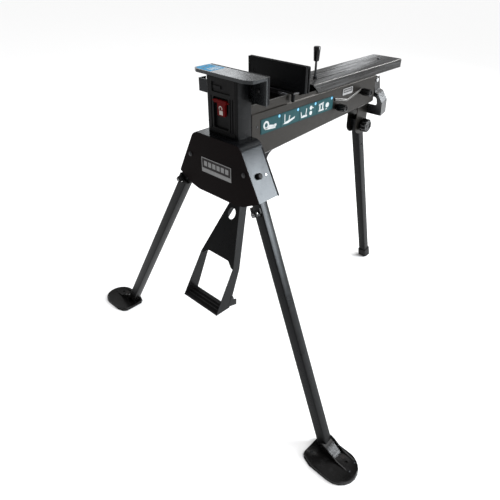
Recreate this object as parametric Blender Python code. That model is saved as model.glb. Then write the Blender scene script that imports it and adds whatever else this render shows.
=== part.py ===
"""Foot-operated clamping work stand: a portable vice on three legs.

A fixed jaw stands on a column at the front.  A sliding beam carries the moving jaw along a
channel-shaped body.  A pedal under the front head pulls the beam towards the fixed jaw.
Sizes are in millimetres and are scaled to metres as the meshes are made.

X runs across the stand, Y runs from the fixed jaw (front) to the rear leg, Z is up.
All places are given from the working face of the fixed jaw (Y = 0), the middle plane (X = 0)
and the ground (Z = 0); one empty shifts the lot so that the origin is under the footprint's middle.
"""

import math

import bmesh
import bpy
from mathutils import Matrix, Vector

MM = 0.001                # metres in a millimetre
GAP = 0.3                 # clearance between pieces that touch
SHEET = 2.0               # wall of the folded steel sheet

# Overall
JAW_FACE_Y = -274.15      # the fixed jaw's face, from the middle of the footprint
JAW_TOP_Z = 870.0         # top of both jaws
JAW_HALF = 97.0           # half width of both jaws
JAW_BOTTOM_Z = 805.0      # lower edge of both jaw plates

# Front head
COVER_Y = -86.0           # front face of the head's cover
HEAD_REAR_Y = -14.0       # rear face of the head
HEAD_TOP_Z = 724.0
HEAD_BOTTOM_Z = 568.0
HEAD_SHOULDER = (90.0, 708.0)    # where the top bends into the slanted side (X, Z)
HEAD_HIP = (147.2, 600.0)        # lower end of the slanted side (X, Z)
PLUG_Y = -58.5
HEAD_FOOT_X = 84.0               # where the cover's lower edge becomes level

# Column
COLUMN_HALF = 52.0
COLUMN_FRONT_Y = -60.0
COLUMN_REAR_Y = -12.0
COLUMN_TOP_Z = 861.0

# Body channel and sliding beam
BODY_HALF = 52.0
BODY_FRONT_Y = -11.7
BODY_REAR_Y = 537.0
BODY_CREASE_Z = 777.0     # the walls step inwards above this
BODY_LIP_Z = 799.0        # top of the walls in front
BODY_LOW_LIP_Z = 786.0    # top of the walls behind the moving jaw
BODY_STEP_Y = 165.0
BODY_BOTTOM_FRONT_Z = 660.0
BODY_BOTTOM_REAR_Z = 694.0
BEAM_FRONT_Y = 223.0
BEAM_REAR_Y = 680.0
BEAM_TOP_Z = 803.0
GROOVE_X = 20.5
GROOVE_REAR_Y = 420.0
RAIL = (20.0, 783.0, 795.0)      # half width, underside and top of the drive rail
RAIL_FRONT_Y = 120.0
RAIL_REAR_Y = 640.0

# Moving jaw, front face to rear face
MOVING_JAW_Y = 127.5
PAD = 4.5
STUD = (59.0, 130.0)       # X and Y of the studs under the moving jaw
JAW_WALL = 4.5
JAW_FOLD_GAP = 5.0

# Legs
TUBE = 28.0               # square leg tube
TUBE_WALL = 1.5
TUBE_CORNER = 3.0
LEG_PIVOT = (97.0, -60.5, 656.5)
LEG_SPLAY = math.radians(27.8)
LEG_LEAN = math.radians(6.2)
REAR_PIVOT = (0.0, 545.0, 612.0)
REAR_LEAN = math.radians(17.0)
FOOT_TOP_Z = 9.0
SOLE_Z = 3.0
LATCH_REACH = 79.0         # from the leg pivot down to the top of the latch
FOOT_SHIFT_Y = -20.0

# Pedal
PEDAL_PIVOT = (0.0, 20.0, 590.0)
PEDAL_LEAN = math.atan(0.5)      # slope of the pedal's face from the vertical
PEDAL_HOLE = (0.0, -37.0, 500.0)
PEDAL_NECK = (20.0, -25.5, 523.0)    # edge of the face where the pedal starts to widen
PEDAL_KNEE = (66.0, -98.0, 378.0)    # edge of the face where the straps begin
PEDAL_TOE = (69.0, -170.0, 257.5)    # lower front corner of the straps
PEDAL_HEEL_Y = -119.5
LINK_ARM = 75.0                  # from the pedal's pivot up to the drive link
LINK_X = 8.0

# Rear handle
HANDLE_PIN = (0.0, 550.0, 759.0)
HANDLE_LEAN = math.radians(17.0)

KNOBS = ((338.0, 722.0), (461.0, 742.0))     # Y and Z of the two knobs on the body's side


# ---------------------------------------------------------------- scene and materials

def clear_scene():
    for thing in list(bpy.data.objects):
        bpy.data.objects.remove(thing, do_unlink=True)


def make_material(name, colour, roughness, metallic):
    material = bpy.data.materials.new(name)
    material.use_nodes = True
    shader = material.node_tree.nodes["Principled BSDF"]
    shader.inputs["Base Color"].default_value = (*colour, 1.0)
    shader.inputs["Roughness"].default_value = roughness
    shader.inputs["Metallic"].default_value = metallic
    return material


clear_scene()
BLACK_PAINT = make_material("black_paint", (0.028, 0.029, 0.033), 0.42, 0.0)
COVER_PAINT = make_material("cover_paint", (0.032, 0.028, 0.028), 0.45, 0.0)
JAW_TOP_PAINT = make_material("jaw_top_paint", (0.05, 0.052, 0.058), 0.25, 0.0)
BLACK_PLASTIC = make_material("black_plastic", (0.017, 0.017, 0.018), 0.5, 0.0)
BLACK_RUBBER = make_material("black_rubber", (0.012, 0.012, 0.012), 0.8, 0.0)
RED_PLASTIC = make_material("red_plastic", (0.45, 0.02, 0.03), 0.4, 0.0)
BRIGHT_STEEL = make_material("bright_steel", (0.55, 0.56, 0.58), 0.3, 1.0)
LABEL_TEAL = make_material("label_teal", (0.05, 0.13, 0.15), 0.4, 0.0)
LABEL_GREY = make_material("label_grey", (0.5, 0.5, 0.5), 0.4, 0.0)


def make_rig(name, place, rotation=None, parent=None):
    """An empty that pieces are parented to; place is in millimetres in the stand's own frame."""
    rig = bpy.data.objects.new(name, None)
    bpy.context.collection.objects.link(rig)
    world = Matrix.Translation(Vector(place) * MM)
    if rotation is not None:
        world = world @ rotation.to_4x4()
    if parent is not None:
        world = parent.matrix_world @ world
        rig.parent = parent
        rig.matrix_parent_inverse = Matrix.Identity(4)
        rig.matrix_local = parent.matrix_world.inverted() @ world
    else:
        rig.matrix_local = world
    bpy.context.view_layer.update()
    return rig


ROOT = make_rig("stand_frame", (0.0, JAW_FACE_Y, 0.0))


# ---------------------------------------------------------------- outlines in two dimensions

def rounded(points, radius, steps=4, closed=True):
    """Replace each corner by an arc; radius is one number or one number for each point."""
    radii = radius if isinstance(radius, (list, tuple)) else [radius] * len(points)
    corners = [Vector(p) for p in points]
    count = len(corners)
    out = []
    for i, corner in enumerate(corners):
        is_end = not closed and i in (0, count - 1)
        if is_end or radii[i] <= 0:
            out.append(corner)
            continue
        before = (corners[i - 1] - corner).normalized()
        after = (corners[(i + 1) % count] - corner).normalized()
        half_angle = before.angle(after) / 2
        reach = radii[i] / math.tan(half_angle)
        start, end = corner + before * reach, corner + after * reach
        centre = corner + (before + after).normalized() * (radii[i] / math.sin(half_angle))
        sweep = (start - centre).angle_signed(end - centre)
        for k in range(steps + 1):
            turn = Matrix.Rotation(-sweep * k / steps, 2)
            out.append(centre + turn @ (start - centre))
    return out


def strip(points, thickness, radius=0.0, steps=3):
    """Outline of a folded sheet whose left side follows the open path."""
    path = rounded(points, radius, steps, closed=False)
    directions = [(path[i + 1] - path[i]).normalized() for i in range(len(path) - 1)]
    far_side = []
    for i, point in enumerate(path):
        first = directions[max(i - 1, 0)]
        second = directions[min(i, len(directions) - 1)]
        normal = (Vector((first.y, -first.x)) + Vector((second.y, -second.x))).normalized()
        mitre = thickness / max(normal.dot(Vector((first.y, -first.x))), 0.2)
        far_side.append(point + normal * mitre)
    return path + far_side[::-1]


def rectangle(low, high):
    return [(low[0], low[1]), (high[0], low[1]), (high[0], high[1]), (low[0], high[1])]


def mirrored(points):
    """The right half of an outline, top to bottom, followed by its mirror image."""
    return [Vector(p) for p in points] + [Vector((-p[0], p[1])) for p in reversed(points)]


def circle(centre, radius, segments=16):
    return [Vector((centre[0] + radius * math.cos(2 * math.pi * k / segments),
                    centre[1] + radius * math.sin(2 * math.pi * k / segments)))
            for k in range(segments)]


# ---------------------------------------------------------------- solids

def to_3d(point, axis, depth):
    if axis == "x":
        return Vector((depth, point[0], point[1]))
    if axis == "y":
        return Vector((point[0], depth, point[1]))
    return Vector((point[0], point[1], depth))


def add_loft(mesh, loops):
    """Close a row of equal loops into one body with flat ends."""
    rows = [[mesh.verts.new(point) for point in loop] for loop in loops]
    count = len(rows[0])
    for low, high in zip(rows, rows[1:]):
        for i in range(count):
            j = (i + 1) % count
            mesh.faces.new((low[i], low[j], high[j], high[i]))
    mesh.faces.new(rows[0][::-1])
    mesh.faces.new(rows[-1])


def add_prism(mesh, outline, axis, low, high):
    add_loft(mesh, [[to_3d(p, axis, d) for p in outline] for d in (low, high)])


def add_tube(mesh, outer, inner, axis, low, high):
    """A hollow bar: outer and inner are outlines with the same number of points."""
    rings = [[mesh.verts.new(to_3d(p, axis, d)) for p in outline]
             for outline, d in ((outer, low), (outer, high), (inner, high), (inner, low))]
    count = len(outer)
    for near, far in zip(rings, rings[1:] + rings[:1]):
        for i in range(count):
            j = (i + 1) % count
            mesh.faces.new((near[i], near[j], far[j], far[i]))


def add_turned(mesh, profile, centre, axis, segments=12):
    """Turn a profile of (radius, height) about an axis through centre; its ends lie on the axis."""
    frame = {"x": Matrix.Rotation(math.pi / 2, 3, "Y"),
             "y": Matrix.Rotation(-math.pi / 2, 3, "X"),
             "z": Matrix.Identity(3)}[axis]
    rings = []
    for radius, height in profile:
        around = 1 if radius == 0 else segments
        rings.append([mesh.verts.new(Vector(centre) + frame @ Vector((
            radius * math.cos(2 * math.pi * k / segments),
            radius * math.sin(2 * math.pi * k / segments), height))) for k in range(around)])
    for low, high in zip(rings, rings[1:]):
        for k in range(segments):
            n = (k + 1) % segments
            ring = [low[0]] if len(low) == 1 else [low[k], low[n]]
            ring += [high[0]] if len(high) == 1 else [high[n], high[k]]
            mesh.faces.new(ring)


def round_bar(radius, low, high):
    return [(0.0, low), (radius, low), (radius, high), (0.0, high)]


def finish(name, mesh, material, rig=None, world=None, smooth=True):
    """Turn a bmesh in millimetres into an object under rig; world places it in the stand's frame."""
    rig = rig or ROOT
    bmesh.ops.recalc_face_normals(mesh, faces=mesh.faces)
    bmesh.ops.scale(mesh, vec=(MM, MM, MM), verts=mesh.verts)
    data = bpy.data.meshes.new(name)
    mesh.to_mesh(data)
    mesh.free()
    if smooth:
        data.shade_smooth()
        data.set_sharp_from_angle(angle=math.radians(35))
    item = bpy.data.objects.new(name, data)
    bpy.context.collection.objects.link(item)
    item.parent = rig
    item.matrix_parent_inverse = Matrix.Identity(4)
    if world is not None:
        item.matrix_local = rig.matrix_world.inverted() @ ROOT.matrix_world @ world
    if material is not None:
        data.materials.append(material)
    return item


def tool(name, mesh, rig=None, world=None):
    """A solid that only cuts or joins."""
    item = finish(name, mesh, None, rig, world, smooth=False)
    item.hide_render = True
    item.display_type = "WIRE"
    return item


def combine(item, other, operation):
    modifier = item.modifiers.new(other.name, "BOOLEAN")
    modifier.operation = operation
    modifier.solver = "EXACT"
    modifier.object = other


def cut(item, other):
    combine(item, other, "DIFFERENCE")


def join(item, other):
    combine(item, other, "UNION")


def bevel(item, width, segments=1, angle=40.0):
    modifier = item.modifiers.new("edges", "BEVEL")
    modifier.width = width * MM
    modifier.segments = segments
    modifier.limit_method = "ANGLE"
    modifier.angle_limit = math.radians(angle)


def prism(name, outline, axis, low, high, material=None, rig=None, world=None):
    mesh = bmesh.new()
    add_prism(mesh, outline, axis, low, high)
    if material is None:
        return tool(name, mesh, rig, world)
    return finish(name, mesh, material, rig, world)


def block(name, low, high, material=None, rig=None, world=None):
    return prism(name, rectangle(low[:2], high[:2]), "z", low[2], high[2], material, rig, world)


def pins(name, places, profile, axis, material=None, rig=None, segments=12, world=None):
    """Equal turned pieces at several places, as separate bodies of one object."""
    mesh = bmesh.new()
    for place in places:
        add_turned(mesh, profile, place, axis, segments)
    if material is None:
        return tool(name, mesh, rig, world)
    return finish(name, mesh, material, rig, world)


def pair(base, places, profile, axis, material, segments=12):
    """Two equal fasteners, left and right of the middle, as two objects."""
    for name, place in zip(("left", "right"), places):
        pins(f"{name}_{base}", [place], profile, axis, material, segments=segments)


# ---------------------------------------------------------------- body channel

def body_section(bottom):
    """Half section of the channel's wall, from the middle of the floor up to the lip and back."""
    inner = BODY_HALF - SHEET
    step = 2.6                       # how far the upper wall stands in from the lower one
    outer_path = [(0.0, bottom), (BODY_HALF - 5.0, bottom), (BODY_HALF, bottom + 5.0),
                  (BODY_HALF, BODY_CREASE_Z - step), (BODY_HALF - step, BODY_CREASE_Z),
                  (BODY_HALF - step, BODY_LIP_Z)]
    inner_path = [(inner - step, BODY_LIP_Z), (inner - step, BODY_CREASE_Z - 1.0),
                  (inner, BODY_CREASE_Z - step - 1.0), (inner, bottom + 5.0),
                  (inner - 3.0, bottom + SHEET), (0.0, bottom + SHEET)]
    return outer_path, inner_path


def make_body():
    loops = []
    for y, bottom in ((BODY_FRONT_Y, BODY_BOTTOM_FRONT_Z), (BODY_REAR_Y, BODY_BOTTOM_REAR_Z)):
        outer, inner = body_section(bottom)
        right = outer[1:] + inner[:-1]
        loop = [Vector((x, y, z)) for x, z in right]
        loop += [Vector((-x, y, z)) for x, z in reversed(right)]
        loops.append(loop)
    mesh = bmesh.new()
    add_loft(mesh, loops)
    body = finish("body_channel", mesh, BLACK_PAINT)
    cut(body, block("low_lip_cut", (-80, BODY_STEP_Y, BODY_LOW_LIP_Z),
                    (80, BODY_REAR_Y + 20, BODY_LIP_Z + 20)))
    cut(body, block("lever_slot", (-18, BODY_FRONT_Y - 5, 640), (18, 75, 690)))
    chevron = strip([(326, 745), (387, 730.5), (458, 747)], 5.0)
    join(body, prism("chevron_bead", chevron, "x", BODY_HALF - 1.0, BODY_HALF + 1.2))
    # Turned-in front end, bolted to the column's rear wall.
    join(body, block("body_front_flange", (-BODY_HALF + 1.0, BODY_FRONT_Y + 0.01, 725.5),
                     (BODY_HALF - 1.0, BODY_FRONT_Y + SHEET, 768)))
    cut(body, pins("flange_bolt_holes", column_bolt_places(-25), round_bar(3.2, 0.0, 30.0), "y"))
    cut(body, pins("flange_rod_hole", [(RELEASE_ROD[0], -25, RELEASE_ROD[1])],
                   round_bar(4.5, 0.0, 30.0), "y"))
    # Cross shelf that carries the blocks the drive rail glides on.
    shelf = strip([(-BODY_HALF + 1.5, 775), (-BODY_HALF + 1.5, 752), (BODY_HALF - 1.5, 752),
                   (BODY_HALF - 1.5, 775)], -SHEET)
    join(body, prism("glide_shelf", shelf, "y", 496, 530))
    cut(body, pins("knob_holes", [(BODY_HALF - 8, y, z) for y, z in KNOBS],
                   round_bar(4.0, 0.0, 20.0), "x"))
    return body


def make_body_fittings():
    end = prism("body_end_bracket", [(-44.5, 698), (44.5, 698), (44.5, 771), (-44.5, 771)], "y",
                BODY_REAR_Y - 4.0, BODY_REAR_Y - 2.0, BLACK_PAINT)
    ear = rounded([(BODY_REAR_Y - 3.0, 733), (BODY_REAR_Y + 24.0, 741),
                   (BODY_REAR_Y + 24.0, 771), (BODY_REAR_Y - 3.0, 771)], [0, 6, 10, 0])
    for side in (-1, 1):
        low, high = sorted((side * 42.5, side * 44.5))
        join(end, prism(f"end_ear_{side}", ear, "x", low, high))
    cut(end, pins("handle_pin_hole", [(-60, HANDLE_PIN[1], HANDLE_PIN[2])],
                  round_bar(4.3, 0.0, 120.0), "x"))

    label = rounded([(18, 719.5), (317, 719.5), (317, 757), (18, 757)], 3.0)
    prism("instruction_label", label, "x", BODY_HALF + GAP, BODY_HALF + 0.9, LABEL_TEAL)
    badge = rounded([(362, 748), (411, 748), (411, 766), (362, 766)], 2.0)
    prism("blank_badge", badge, "x", BODY_HALF + GAP, BODY_HALF + 1.5, LABEL_GREY)

    for number, (y, z) in enumerate(KNOBS, 1):
        rig = make_rig(f"body_knob_{number}_axis", (BODY_HALF, y, z), parent=ROOT)
        knob = ribbed_knob(f"body_knob_{number}", 10.5, 34.0, 12, rig, seat=1.7)
        stud = [(0.0, -6.0), (6.5, -6.0), (6.5, -2.4), (3.4, -2.4), (3.4, 4.0), (0.0, 4.0)]
        join(knob, pins(f"knob_stud_{number}", [(0, 0, 0)], stud, "x", rig=rig))

    glide = block("rail_glide_block", (-30, 500, 752 + SHEET + GAP), (30, 526, RAIL[1] - GAP),
                  BLACK_PLASTIC)
    bevel(glide, 1.5)


def ribbed_knob(name, radius, length, ribs, rig, seat=GAP):
    """A knob along +X with ribs round it; it starts just off its seat."""
    outline = []
    for k in range(ribs):
        for turn, reach in ((0.0, 1.0), (0.4, 1.0), (0.7, 0.88)):
            angle = 2 * math.pi * (k + turn) / ribs
            outline.append((radius * reach * math.cos(angle), radius * reach * math.sin(angle)))
    shrink = [(0.86, seat), (1.0, seat + 1.8), (1.0, length - 2.5), (0.84, length)]
    mesh = bmesh.new()
    add_loft(mesh, [[Vector((x, y * s, z * s)) for y, z in outline] for s, x in shrink])
    return finish(name, mesh, BLACK_PLASTIC, rig)


# ---------------------------------------------------------------- front head and column

def head_outline(inset):
    """The head seen from the front, with all edges moved in by inset."""
    shoulder_x, shoulder_z = HEAD_SHOULDER
    hip_x, hip_z = HEAD_HIP
    slope = Vector((hip_x - shoulder_x, hip_z - shoulder_z)).normalized()
    normal = Vector((slope.y, -slope.x))          # points inwards from the slanted side
    top_z = HEAD_TOP_Z - inset
    corner = Vector(HEAD_SHOULDER) + normal * inset
    top_x = corner.x + slope.x * (top_z - corner.y) / slope.y
    hip = Vector(HEAD_HIP) + normal * inset
    return Vector((top_x, top_z)), hip


def make_head():
    top, hip = head_outline(0.0)
    path = [Vector((-hip.x, hip.y)), Vector((-top.x, top.y)), top, hip]
    band = strip(path, SHEET, radius=24.0, steps=6)
    front_y = COVER_Y + SHEET + GAP
    head = prism("head_housing", band, "y", front_y, HEAD_REAR_Y, BLACK_PAINT)
    in_top, in_hip = head_outline(1.0)
    rear_wall = mirrored([(in_top.x, in_top.y), (in_hip.x, in_hip.y), (60, 600)])
    rear_wall = rounded(rear_wall, [22, 0, 0, 0, 0, 22], steps=6)
    join(head, prism("head_rear_wall", rear_wall, "y", HEAD_REAR_Y - SHEET, HEAD_REAR_Y - 0.02))
    cut(head, on_leg_axis("head_bolt_holes", round_bar(4.4, -90.0, 90.0)))
    cut(head, side_plugs("side_plug_holes", round_bar(5.8, -8.0, 8.0)))
    profile = [(0.0, -2.6), (5.5, -2.6), (5.5, GAP), (8.0, GAP), (8.0, 6.0), (6.0, 8.5), (0.0, 9.0)]
    side_plugs("left_side_plug", profile, (-1,), BLACK_PLASTIC)
    side_plugs("right_side_plug", profile, (1,), BLACK_PLASTIC)
    return head


def side_plugs(name, profile, sides=(-1, 1), material=None):
    """Round pieces on the middle of the head's slanted sides."""
    (shoulder_x, shoulder_z), (hip_x, hip_z) = HEAD_SHOULDER, HEAD_HIP
    tilt = math.atan2(shoulder_z - hip_z, hip_x - shoulder_x)
    mesh = bmesh.new()
    for side in sides:
        single = bmesh.new()
        add_turned(single, profile, (0, 0, 0), "z", 16)
        middle = Vector((side * (shoulder_x + hip_x) / 2, PLUG_Y, (shoulder_z + hip_z) / 2))
        turn = Matrix.Rotation(side * tilt, 4, "Y")
        bmesh.ops.transform(single, matrix=Matrix.Translation(middle) @ turn, verts=single.verts)
        append(mesh, single)
    if material is None:
        return tool(name, mesh)
    return finish(name, mesh, material)


def on_leg_axis(name, profile, sides=(-1, 1), material=None):
    """Turned pieces along the front legs' pivot axes."""
    mesh = bmesh.new()
    lean = Matrix.Rotation(-LEG_LEAN, 4, "X")
    for side in sides:
        single = bmesh.new()
        add_turned(single, profile, (0, 0, 0), "y", 12)
        middle = Vector((side * LEG_PIVOT[0], LEG_PIVOT[1], LEG_PIVOT[2]))
        bmesh.ops.transform(single, matrix=Matrix.Translation(middle) @ lean, verts=single.verts)
        append(mesh, single)
    if material is None:
        return tool(name, mesh)
    return finish(name, mesh, material)


def append(mesh, other):
    scratch = bpy.data.meshes.new("scratch")
    other.to_mesh(scratch)
    other.free()
    mesh.from_mesh(scratch)
    bpy.data.meshes.remove(scratch)


def make_front_cover():
    top, hip = head_outline(0.0)
    outline = mirrored([(top.x, top.y), (hip.x, hip.y), (HEAD_FOOT_X + 12, HEAD_BOTTOM_Z + 6),
                        (HEAD_FOOT_X - 12, HEAD_BOTTOM_Z)])
    outline = rounded(outline, [26, 2, 10, 10, 10, 10, 2, 26], steps=6)
    cover = prism("head_front_cover", outline, "y", COVER_Y, COVER_Y + SHEET, COVER_PAINT)
    cut(cover, on_leg_axis("cover_bolt_holes", round_bar(4.4, -90.0, 90.0)))

    plate = prism("cover_nameplate", rectangle((-54, 625), (54, 664)), "y",
                  COVER_Y - 0.9, COVER_Y - GAP, LABEL_GREY)
    cut(plate, block("nameplate_window", (-52, COVER_Y - 3, 636), (52, COVER_Y + 3, 662)))

    bolt = [(0.0, -29.1), (2.6, -29.1), (6.5, -27.3), (6.5, -26.7), (3.9, -26.7),
            (3.9, 47.7), (6.5, 47.7), (6.5, 51.5), (0.0, 51.5)]
    on_leg_axis("left_pivot_bolt", bolt, (-1,), BLACK_PAINT)
    on_leg_axis("right_pivot_bolt", bolt, (1,), BLACK_PAINT)


def make_column():
    outer = rounded(rectangle((-COLUMN_HALF, COLUMN_FRONT_Y), (COLUMN_HALF, COLUMN_REAR_Y)), 3.0, 3)
    inner = rounded(rectangle((-COLUMN_HALF + SHEET, COLUMN_FRONT_Y + SHEET),
                              (COLUMN_HALF - SHEET, COLUMN_REAR_Y - SHEET)), 1.0, 3)
    mesh = bmesh.new()
    add_tube(mesh, outer, inner, "z", HEAD_TOP_Z + GAP, COLUMN_TOP_Z)
    column = finish("column_box", mesh, BLACK_PAINT)
    cut(column, block("column_front_window", (-45, COLUMN_FRONT_Y - 9, 729), (45, -50, COLUMN_TOP_Z + 9)))
    notch = rounded([(-24, 815), (-5, 815), (-5, 880), (-24, 880)], [8, 0, 0, 0])
    cut(column, prism("column_rear_notch", notch, "x", -70, 70))
    cut(column, pins("column_bolt_holes", column_bolt_places(-25), round_bar(3.2, 0.0, 30.0), "y"))
    cut(column, pins("release_rod_hole", [(RELEASE_ROD[0], -25, RELEASE_ROD[1])],
                     round_bar(4.5, 0.0, 30.0), "y"))

    pair("column_bolt", column_bolt_places(COLUMN_REAR_Y - SHEET),
         [(0.0, -3.3), (5.5, -3.3), (5.5, -GAP), (2.9, -GAP), (2.9, 5.0), (0.0, 5.0)], "y", BRIGHT_STEEL)

    face_y = COLUMN_FRONT_Y - 0.5
    panel = prism("column_front_panel",
                  rounded(rectangle((-44.6, 729.5), (44.6, COLUMN_TOP_Z - 1)), 3.0, 2),
                  "y", face_y, face_y + 9.0, BLACK_PLASTIC)
    pocket = rounded(rectangle((-29, 741), (22, 816)), 3.0, 2)
    cut(panel, prism("panel_pocket", pocket, "y", face_y - 5, face_y + 6.5))
    ramp = [(-34, 826), (30, 826), (24, 850), (-34, 850)]
    cut(panel, prism("panel_upper_recess", rounded(ramp, 3.0, 2), "y", face_y - 5, face_y + 3.0))
    for x in (-38.0, 27.0, 35.0):
        cut(panel, block(f"panel_flute_{int(x)}", (x, face_y - 5, 738), (x + 3.5, face_y + 2.0, 818)))
    ledge = prism("panel_ledge", rectangle((-30, 834), (-4, 841)), "y", face_y + 0.6, face_y + 5.0)
    join(panel, ledge)
    foot = block("panel_foot", (-44.6, face_y - 1.5, 729.5), (44.6, face_y + 2.0, 736.0))
    join(panel, foot)

    bracket = strip([(-84, -34), (-84, -56), (-COLUMN_HALF - GAP, -56)], -SHEET)
    side = prism("column_side_bracket", bracket, "z", 817, 848, BLACK_PAINT)
    join(side, block("side_bracket_floor", (-83.5, -55.5, 817.01), (-COLUMN_HALF - GAP, -34.01, 819)))
    return panel


def column_bolt_places(y):
    return [(x, y, 738) for x in (-24, 24)]


# ---------------------------------------------------------------- jaws

def make_fixed_jaw():
    top = rounded([(-JAW_HALF, -8), (-JAW_HALF, -56), (-JAW_HALF + 14, -64), (JAW_HALF - 20, -66),
                   (JAW_HALF, -56), (JAW_HALF, -8)], [3, 3, 8, 8, 3, 3], steps=3)
    jaw = prism("fixed_jaw", top, "z", JAW_TOP_Z - 8.0, JAW_TOP_Z, JAW_TOP_PAINT)
    under = rounded([(-JAW_HALF + 3, -16), (-JAW_HALF + 3, -54), (-JAW_HALF + 17, -61),
                     (JAW_HALF - 23, -62), (JAW_HALF - 3, -54), (JAW_HALF - 3, -16)], 3.0, 2)
    cut(jaw, prism("jaw_underside", under, "z", JAW_TOP_Z - 20, JAW_TOP_Z - 3.0))
    upright_y = COLUMN_REAR_Y + GAP
    join(jaw, block("jaw_upright", (-JAW_HALF, upright_y, JAW_BOTTOM_Z), (JAW_HALF, -8.01, JAW_TOP_Z - 2)))
    places = [(side * 73.0, 0, 836.0) for side in (-1, 1)]
    cut(jaw, pins("jaw_screw_holes", [(x, -20, z) for x, _, z in places], round_bar(2.8, 0, 30), "y"))

    pad = jaw_pad("fixed_jaw_pad", -8 + GAP, 0.0)
    cut(pad, pins("pad_screw_holes", [(x, -10, z) for x, _, z in places], round_bar(2.8, 0, 7.5), "y"))
    pair("fixed_jaw_screw", [(x, upright_y, z) for x, _, z in places],
         [(0, -3.2), (4.6, -2.2), (4.6, -GAP), (2.5, -GAP), (2.5, 8.5), (0, 8.5)], "y",
         BRIGHT_STEEL, segments=12)


def jaw_pad(name, rear_y, face_y):
    """Smooth clamping face as wide as its jaw."""
    low, high = sorted((rear_y, face_y))
    pad = block(name, (-JAW_HALF, low, JAW_BOTTOM_Z + 1), (JAW_HALF, high, JAW_TOP_Z), BLACK_PLASTIC)
    bevel(pad, 1.0)
    return pad


def make_moving_jaw():
    wall_y = MOVING_JAW_Y + PAD + GAP
    rear_y = wall_y + JAW_WALL + JAW_FOLD_GAP + JAW_WALL
    path = [(rear_y, JAW_BOTTOM_Z), (rear_y, JAW_TOP_Z), (wall_y, JAW_TOP_Z), (wall_y, JAW_BOTTOM_Z)]
    outline = strip(path, -JAW_WALL, radius=5.5, steps=4)
    jaw = prism("moving_jaw", outline, "x", -JAW_HALF, JAW_HALF, BLACK_PAINT)
    places = [(side * 73.0, wall_y, 838.0) for side in (-1, 1)]
    cut(jaw, pins("moving_screw_holes", [(x, y - 3, z) for x, y, z in places], round_bar(2.8, 0, 12), "y"))

    pad = jaw_pad("moving_jaw_pad", MOVING_JAW_Y + PAD, MOVING_JAW_Y)
    cut(pad, pins("moving_pad_holes", [(x, MOVING_JAW_Y - 5, z) for x, _, z in places],
                  [(0, 0), (5.2, 0), (5.2, 7.6), (2.8, 7.6), (2.8, 15), (0, 15)], "y"))
    pair("moving_jaw_screw", places,
         [(0, -4.4), (4.8, -4.4), (4.8, -3.0), (2.5, -2.6), (2.5, 7.5), (0, 7.5)], "y",
         BLACK_PAINT)

    stud_places = [(side * STUD[0], STUD[1], 778) for side in (-1, 1)]
    pair("jaw_guide_stud", stud_places,
         [(0, 0), (3.4, 1.2), (4.9, 4.5), (4.9, 21.8), (3.0, 21.8), (3.0, 26.0), (0, 26.0)], "z",
         BRIGHT_STEEL)


# ---------------------------------------------------------------- sliding beam and drive

RELEASE_ROD = (35.0, 748.0)        # X and Z of the rod from the lock lever to the holding plate
HOLDING_PLATE_Y = 486.0
DRIVE_PLATE_Y = 432.0


RIVET_Y = 262.0
RAIL_SCREW_Y = 626.0


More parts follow.
